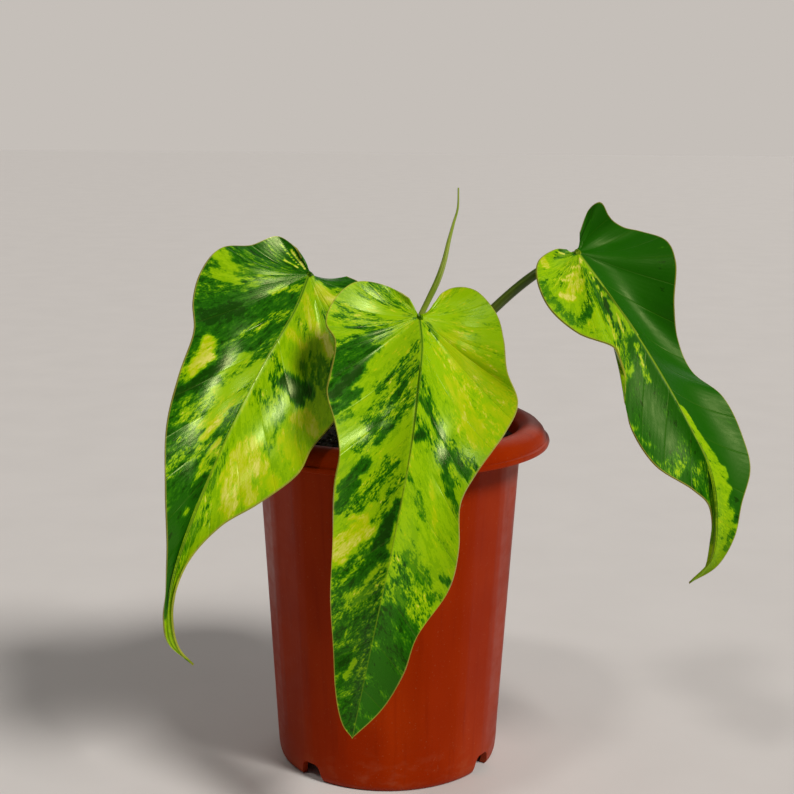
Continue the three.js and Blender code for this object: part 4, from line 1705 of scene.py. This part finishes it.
MIDDLE_BLADE = Blade(
    side=Side.MIDDLE,
    midrib=(
        (13, -42, 218), (14, -56, 208), (12, -77, 191), (9, -91, 169), (3, -101, 137), (-5, -107, 98),
        (-14, -109, 52),
    ),
    left=Half(
        0.36, (0.08, 0.08, 0.08), 1.1, 5, 0.6,
        (
            (8, -37, 226), (-2, -33, 231), (-15, -37, 232), (-24, -46, 226), (-27, -56, 218),
            (-23, -62, 211), (-25, -70, 198), (-26, -75, 191), (-22, -85, 180), (-20, -91, 169),
            (-22, -93, 156), (-23, -97, 125), (-23, -100, 94), (-21, -103, 72), (-18, -107, 57),
            (-14, -109, 52),
        ),
    ),
    right=Half(
        0.38, (0.09, 0.09, 0.08), 1.1, 5, 3.4,
        (
            (19, -37, 223), (27, -33, 229), (37, -34, 229), (46, -43, 221), (49, -53, 210), (50, -63, 198),
            (54, -72, 187), (49, -79, 176), (36, -90, 160), (30, -95, 149), (29, -98, 130), (25, -101, 113),
            (12, -105, 94), (7, -107, 80), (-1, -108, 65), (-14, -109, 52),
        ),
    ),
    ground=(T.LIME, T.LIME),
    streaks=streaks(
        # ground of the lower third
        (T.FLECKED, -0.5, 0.76, -0.5, 0.98, 15),
        (T.FLECKED, 0.5, 0.79, 0.5, 0.98, 15),
        # upper left lobe
        (T.LIME_TORN, -0.9, 0.10, -0.3, 0.12, 8),
        (T.TORN, -0.95, 0.09, -0.45, 0.10, 3.6),
        (T.LIME_TORN, -0.85, 0.22, -0.2, 0.24, 6),
        (T.BRIGHT, -0.6, 0.17, -0.25, 0.19, 3),
        (T.GREEN, -0.78, 0.265, -0.5, 0.275, 1.1),
        (T.TORN, -0.97, 0.33, -0.4, 0.34, 5.0),
        (T.FLECKED, -0.97, 0.37, -0.5, 0.37, 5.0),
        (T.GREEN, -0.97, 0.335, -0.42, 0.325, 2.4),
        (T.GREEN, -0.30, 0.345, -0.05, 0.36, 1.2),
        (T.TORN, -0.5, 0.36, -0.15, 0.37, 2.4),
        (T.GREEN, -0.95, 0.385, -0.55, 0.375, 2.8),
        # dark shoulder
        (T.GREEN, -0.97, 0.425, -0.5, 0.40, 5.0),
        (T.DEEP, -0.97, 0.43, -0.65, 0.415, 2.6),
        (T.GREEN, -0.98, 0.455, -0.72, 0.445, 3.0),
        (T.BRIGHT, -0.5, 0.425, -0.1, 0.41, 4.2),
        (T.TORN, -0.2, 0.46, -0.04, 0.45, 2.0),
        (T.LIME, -0.85, 0.49, -0.5, 0.475, 3.4),
        (T.OLIVE, -0.97, 0.475, -0.85, 0.475, 2.6),
        (T.BRIGHT, -0.4, 0.47, -0.15, 0.45, 3.0),
        # torn middle
        (T.TORN, -0.5, 0.47, -0.1, 0.46, 3.0),
        (T.TORN, -0.6, 0.515, -0.06, 0.495, 5.0),
        (T.TORN, -0.66, 0.555, -0.06, 0.54, 5.2),
        (T.GREEN, -0.60, 0.535, -0.5, 0.53, 1.8),
        (T.GREEN, -0.5, 0.568, -0.32, 0.560, 1.6),
        (T.GREEN, -0.32, 0.51, -0.18, 0.505, 1.8),
        (T.LIME, -0.9, 0.57, -0.4, 0.60, 4.5),
        (T.BRIGHT, -0.35, 0.60, -0.1, 0.59, 3.0),
        (T.GREEN, -0.92, 0.595, -0.62, 0.585, 2.6),
        (T.GREEN, -0.93, 0.625, -0.72, 0.605, 2.6),
        (T.TORN, -0.75, 0.645, -0.25, 0.620, 4.6),
        (T.TORN, -0.3, 0.67, -0.06, 0.655, 2.2),
        # yellow patch and dark diagonal
        (T.BRIGHT, -0.9, 0.68, -0.5, 0.68, 5.5),
        (T.YELLOW, -0.95, 0.700, -0.6, 0.680, 5.6),
        (T.LIME_TORN, -0.4, 0.69, -0.2, 0.685, 2.4),
        (T.DEEP, -0.30, 0.735, -0.06, 0.69, 3.2),
        (T.GREEN, -0.6, 0.76, -0.2, 0.74, 3.6),
        (T.TORN, -0.9, 0.745, -0.6, 0.735, 3.2),
        (T.TORN, -0.9, 0.79, -0.15, 0.785, 5.0),
        (T.OLIVE, -0.55, 0.80, -0.3, 0.785, 2.4),
        (T.LIME, -0.4, 0.775, -0.25, 0.765, 1.2),
        # dark lower third
        (T.GREEN, -0.9, 0.875, -0.7, 0.87, 3.6),
        (T.LIME, -0.68, 0.905, -0.45, 0.885, 1.5),
        (T.GREEN, -0.6, 0.97, -0.1, 0.965, 4),
        # right half: nearly plain above
        # Painted highlight: the next two pale rows stand for light caught where the right lobe curls back
        (T.YELLOW, 0.3, 0.04, 0.85, 0.055, 2.6),
        (T.CREAM, 0.5, 0.045, 0.75, 0.05, 0.9),
        (T.BRIGHT, 0.4, 0.07, 0.9, 0.09, 4),
        (T.BRIGHT, 0.2, 0.20, 0.9, 0.24, 8),
        (T.BRIGHT, 0.3, 0.30, 0.95, 0.34, 9),
        (T.BRIGHT, 0.15, 0.44, 0.8, 0.47, 7),
        (T.SUNNY, 0.30, 0.36, 0.95, 0.40, 9),
        (T.SUNNY, 0.45, 0.44, 0.9, 0.47, 6),
        (T.YELLOW, 0.60, 0.43, 0.66, 0.50, 1.0),
        (T.TORN, 0.06, 0.41, 0.18, 0.40, 1.6),
        # dark sweep across the right half
        (T.TORN, 0.03, 0.52, 0.40, 0.525, 3.4),
        (T.GREEN, 0.05, 0.545, 0.22, 0.530, 2.2),
        (T.GREEN, 0.2, 0.535, 0.5, 0.530, 2.0),
        (T.TORN, 0.28, 0.560, 0.60, 0.560, 2.6),
        (T.TORN, 0.03, 0.575, 0.25, 0.565, 2.6),
        (T.DEEP, 0.05, 0.60, 0.18, 0.580, 2.2),
        (T.TORN, 0.60, 0.525, 0.95, 0.515, 3.6),
        (T.GREEN, 0.64, 0.535, 0.95, 0.525, 2.2),
        (T.GREEN, 0.55, 0.550, 0.82, 0.560, 2.2),
        (T.GREEN, 0.66, 0.575, 0.93, 0.590, 2.4),
        (T.LIME_TORN, 0.72, 0.545, 0.9, 0.552, 1.4),
        (T.GREEN, 0.02, 0.655, 0.12, 0.648, 1.5),
        (T.GREEN, 0.2, 0.645, 0.3, 0.635, 0.9),
        (T.LIME, 0.2, 0.62, 0.8, 0.63, 7),
        (T.OLIVE, 0.25, 0.655, 0.42, 0.68, 2.4),
        (T.SUNNY, 0.45, 0.615, 0.64, 0.67, 1.6),
        (T.LIME, 0.15, 0.70, 0.85, 0.68, 6),
        (T.GREEN, 0.86, 0.705, 0.96, 0.70, 1.8),
        (T.OLIVE, 0.3, 0.735, 0.7, 0.735, 3.6),
        # torn and dark below
        (T.TORN, 0.1, 0.755, 0.5, 0.765, 3.6),
        (T.LIME_TORN, 0.6, 0.76, 0.92, 0.76, 3.2),
        (T.TORN, 0.2, 0.79, 0.9, 0.79, 3),
        (T.OLIVE, 0.3, 0.785, 0.5, 0.79, 2.0),
        (T.GREEN, 0.3, 0.81, 0.9, 0.80, 3),
        (T.GREEN, 0.1, 0.845, 0.9, 0.845, 6),
        (T.LIME, -0.10, 0.885, 0.12, 0.90, 1.7),
        (T.DARK, 0.2, 0.89, 0.9, 0.89, 5.5),
        (T.DARK, 0.3, 0.935, 0.9, 0.935, 5),
        (T.DARK, 0.1, 0.975, 0.8, 0.97, 3.5),
    ),
)

RIGHT_BLADE = Blade(
    side=Side.RIGHT,
    core="#8fae2c",
    quilt=0.12,
    gloss=0.34,
    shine=0.26,
    midrib=(
        (86, 2, 242), (96, -10, 229), (108, -24, 212), (121, -38, 191), (132, -49, 171), (140, -56, 153),
        (143, -58, 134), (143, -54, 114), (136, -42, 98),
    ),
    left=Half(
        0.42, (0.15, 0.01, 0.08), 0.3, 4, 0.0,
        (
            (81, 3, 243.2), (77, 1.5, 243.8), (73, -2, 243), (67, -9, 239), (66, -18, 231), (71, -30, 220),
            (83, -38.5, 211), (91, -43, 208.5), (94.5, -44, 207.5), (98, -43.5, 205.5), (100, -41, 202),
            (102, -39.5, 197), (103.5, -40, 192), (103.5, -43, 187.5), (103, -47, 182), (105, -56, 172),
            (115, -61, 157), (132, -60, 146), (140, -57, 138), (142, -52, 119), (141, -47, 105),
            (136, -42, 98),
        ),
    ),
    right=Half(
        0.36, (0.08, 0.08, 0.08), 0.5, 4, 1.6,
        (
            (87, 6, 251), (91, 8, 261), (96, 6, 265), (100.5, 11, 258.7), (104, 14, 255.2),
            (108.5, 14.5, 252.6), (116, 14, 251), (127, 4, 248), (130, -6, 239), (129, -12, 220),
            (131, -14, 205), (137, -21, 191), (149, -30, 181), (157, -38, 165), (160, -45, 152),
            (155, -52, 137), (152, -54, 123), (146, -51, 109), (136, -42, 98),
        ),
    ),
    ground=(T.DARK, T.DARK),
    streaks=streaks(
        # lime lobe of the left half
        (T.LIME, -0.6, 0.06, -0.6, 0.42, 14),
        (T.LIME, -0.2, 0.06, -0.2, 0.30, 8),
        (T.LIME, -0.95, 0.12, -0.95, 0.47, 7),
        (T.OLIVE, -0.90, 0.16, -0.85, 0.30, 4),
        (T.GREEN, -0.9, 0.012, -0.25, 0.02, 2.8),
        (T.TORN, -0.7, 0.05, -0.25, 0.05, 2.2),
        (T.CREAM, -0.85, 0.03, -0.5, 0.035, 0.5),
        (T.LIME_TORN, -0.5, 0.20, -0.2, 0.25, 5),
        (T.YELLOW, -0.5, 0.26, -0.25, 0.30, 3.4),
        (T.CREAM, -0.2, 0.24, -0.14, 0.32, 0.7),
        (T.YELLOW, -0.93, 0.08, -0.75, 0.10, 2.4),
        (T.CREAM, -0.63, 0.235, -0.57, 0.265, 2.8),
        (T.CREAM, -0.46, 0.20, -0.38, 0.235, 1.0),
        (T.CREAM, -0.3, 0.34, -0.15, 0.32, 0.8),
        (T.CREAM, -0.35, 0.22, -0.26, 0.26, 0.8),
        (T.YELLOW, -0.45, 0.30, -0.30, 0.33, 2.0),
        (T.TORN, -0.76, 0.31, -0.50, 0.345, 3.0),
        (T.GREEN, -0.73, 0.32, -0.62, 0.335, 1.8),
        (T.TORN, -0.45, 0.35, -0.32, 0.38, 1.8),
        (T.BRIGHT, -0.85, 0.33, -0.65, 0.38, 4),
        (T.TORN, -0.66, 0.40, -0.5, 0.42, 1.6),
        # streaks beside the midrib down to the waist
        (T.CREAM, -0.10, 0.39, -0.05, 0.415, 0.8),
        (T.TORN, -0.2, 0.40, -0.4, 0.46, 3.0),
        (T.GREEN, -0.2, 0.43, -0.35, 0.455, 1.2),
        (T.CREAM, -0.06, 0.44, -0.16, 0.47, 0.6),
        (T.DEEP, -0.14, 0.475, -0.32, 0.50, 1.0),
        (T.YELLOW, -0.3, 0.475, -0.5, 0.505, 1.0),
        (T.CREAM, -0.42, 0.485, -0.52, 0.50, 0.5),
        (T.LIME_TORN, -0.6, 0.49, -0.75, 0.52, 2.0),
        (T.TORN, -0.15, 0.52, -0.45, 0.54, 2.4),
        (T.CREAM, -0.1, 0.515, -0.2, 0.53, 0.5),
        (T.LIME, -0.9, 0.47, -0.97, 0.56, 3.4),
        (T.TORN, -0.10, 0.575, -0.26, 0.61, 2.2),
        (T.CREAM, -0.14, 0.585, -0.18, 0.595, 0.4),
        # dark lower half with fine flecks
        (T.DARK, -0.5, 0.57, -0.9, 0.56, 4.0),
        (T.DARK, -0.45, 0.62, -0.7, 0.70, 8),
        (T.DARK, -0.15, 0.65, -0.2, 0.76, 4),
        (T.TORN, -0.95, 0.59, -0.88, 0.62, 1.8),
        (T.TORN, -0.97, 0.625, -0.95, 0.66, 1.2),
        (T.FLECKED, -0.95, 0.68, -0.45, 0.72, 5),
        (T.FLECKED, -0.95, 0.75, -0.40, 0.77, 5),
        (T.TORN, -0.90, 0.70, -0.66, 0.715, 1.8),
        (T.TORN, -0.85, 0.745, -0.60, 0.750, 2.0),
        (T.FLECKED, -0.5, 0.79, -0.8, 0.82, 3),
        (T.OLIVE, -0.5, 0.83, -0.5, 0.90, 5),
        (T.LIME, -0.4, 0.92, -0.5, 0.98, 5),
        # plain right half
        (T.DARK, 0.5, 0.10, 0.5, 0.76, 30),
        # scalloped lime band along the midrib
        (T.BRIGHT, 0.03, 0.698, 0.08, 0.712, 1.8),
        (T.BRIGHT, 0.04, 0.715, 0.14, 0.745, 2.0),
        (T.LIME, 0.08, 0.74, 0.25, 0.775, 3.0),
        (T.LIME, 0.15, 0.77, 0.46, 0.790, 3.4),
        (T.LIME, 0.12, 0.79, 0.3, 0.84, 5.0),
        (T.LIME, 0.3, 0.80, 0.58, 0.805, 2.2),
        (T.LIME, 0.2, 0.83, 0.62, 0.85, 3.6),
        (T.LIME, 0.3, 0.87, 0.75, 0.87, 5.0),
        (T.LIME, 0.3, 0.90, 0.8, 0.98, 8.0),
        (T.LIME, 0.75, 0.91, 0.75, 0.99, 14.0),
        (T.OLIVE, 0.85, 0.87, 0.85, 0.90, 1.6),
    ),
)

STALKS = (
    Petiole(
        Side.LEFT,
        (
            (0, 4, 158), (-6, 5, 162), (-13, 6.5, 172), (-22, 8, 190), (-30, 6, 210), (-35, -1, 225),
            (-37, -7, 231),
        ),
        WaxyStalk("left_stalk_epidermis", "#55741c", "#6f8d28", "#b4bd5c", 0.5),
    ),
    Petiole(
        Side.MIDDLE,
        ((0, 4, 166), (1, -3, 171), (2, -10, 181), (4, -20, 197), (8, -31, 210.5), (12.7, -41, 217.3)),
        WaxyStalk("middle_stalk_epidermis", "#5f7f1e", "#7c9a2c", "#bcc663", 0.6),
    ),
    Petiole(
        Side.RIGHT,
        (
            (0, 4, 162), (6, 4.5, 167), (14, 5, 176.5), (28, 6, 194.5), (47, 6, 213.8), (57.5, 6, 223.7),
            (66.6, 6, 231), (74, 6.8, 235.4), (80.5, 6.2, 238), (85, 3.6, 240.4),
        ),
        WaxyStalk("right_stalk_epidermis", "#435a0a", "#4f5c10", "#6c8424", 0.35),
    ),
)


# The studio


@dataclass
class Studio:
    """Pale floor, soft light and the camera, at the photograph's viewing angle.

    Attributes:
        camera_mm: Place of the lens.
        pitch: How far it looks down, in radians.
        roll: How far it leans, in radians.
        focal_pixels: Focal length in pixels of a picture that is picture_pixels wide.
        sensor: Width of the sensor.
        clip: Nearest and farthest distance that shows, in metres.
        floor_size: Side of the floor, in metres.
        floor_drop_mm: How far the floor lies below the pot's foot, so that the two don't flicker.
        suns: Name, direction it shines from, strength, and apparent size in degrees of each sun.
        warm: Colour of the suns.
        room: Colour of the light from the room.
        room_light: Strength of that light.
        wall: Colour that the camera sees behind the floor, the same as the far floor's.
    """

    camera_mm: Point = (3.367, -689.264, 315.039)
    pitch: float = 0.2020
    roll: float = 0.008
    focal_pixels: float = 1502.18
    picture_pixels: float = 794.0
    sensor: float = 36.0
    clip: tuple[float, float] = (0.01, 60.0)
    floor_size: float = 14.0
    floor_drop_mm: float = 0.2
    suns: tuple[tuple[str, Point, float, float], ...] = (
        ("key", (0.52, -0.50, 0.72), 2.55, 16.0),
        ("second", (-0.30, -0.42, 0.86), 0.42, 8.0),
        ("back", (0.3, 0.8, 0.5), 0.3, 40.0),
    )
    warm: str = "#fffaf4"
    room: str = "#f3f0ec"
    room_light: float = 0.14
    wall: str = "#c5bfb9"

    def build_camera(self) -> None:
        """Sets the camera where the photograph's lens stood."""
        data = bpy.data.cameras.new("view")
        data.sensor_width = self.sensor
        data.lens = self.focal_pixels * self.sensor / self.picture_pixels
        data.clip_start, data.clip_end = self.clip
        camera = bpy.data.objects.new("view", data)
        bpy.context.scene.collection.objects.link(camera)
        ahead = Vector((0, math.cos(self.pitch), -math.sin(self.pitch)))
        level, lift = Vector((1, 0, 0)), Vector((1, 0, 0)).cross(ahead)
        right = level * math.cos(self.roll) + lift * math.sin(self.roll)
        up = lift * math.cos(self.roll) - level * math.sin(self.roll)
        turn = Matrix((right, up, -ahead)).transposed().to_4x4()
        camera.matrix_world = Matrix.Translation(at([self.camera_mm])[0]) @ turn
        bpy.context.scene.camera = camera

    def build_floor(self) -> None:
        """Lays the floor just under the pot's foot."""
        deselect()
        spot = (0, 0, -self.floor_drop_mm * MM)
        bpy.ops.mesh.primitive_plane_add(size=self.floor_size, location=spot)
        floor = named("studio_floor")
        dress(floor, MattPaperFloor().material())

    def build_light(self) -> None:
        """Lights the scene from the upper right in front, with a pale room around it."""
        for name, source, power, angle in self.suns:
            sun = bpy.data.lights.new(name, "SUN")
            sun.energy, sun.angle, sun.color = power, math.radians(angle), linear(self.warm)[:3]
            lamp = bpy.data.objects.new(name, sun)
            bpy.context.scene.collection.objects.link(lamp)
            lamp.rotation_euler = Vector(source).to_track_quat("Z", "Y").to_euler()
        world = bpy.data.worlds.new("room")
        world.use_nodes = True
        tree = world.node_tree
        tree.nodes.clear()
        seen = add(tree, "LightPath", out="Is Camera Ray")
        room = add(tree, "Background", {"Color": self.room, "Strength": self.room_light})
        wall = add(tree, "Background", {"Color": self.wall, "Strength": 1.0})
        both = add(tree, "MixShader", (seen, room, wall))
        add(tree, "OutputWorld", {"Surface": both})
        bpy.context.scene.world = world
        bpy.context.scene.view_settings.view_transform = "Standard"

    def build(self) -> None:
        """Builds camera, floor and light."""
        self.build_camera()
        self.build_floor()
        self.build_light()


def main() -> None:
    """Builds the studio and every piece in order."""
    logging.basicConfig(level=logging.INFO, format="%(name)s %(message)s")
    Studio().build()
    pot = Pot()
    pot.build()
    PottingMix().build(pot)
    Stem().build()
    for stalk in STALKS:
        stalk.build()
    NewLeaf().build()
    for blade in (LEFT_BLADE, MIDDLE_BLADE, RIGHT_BLADE):
        blade.build()


if __name__ == "__main__":
    main()
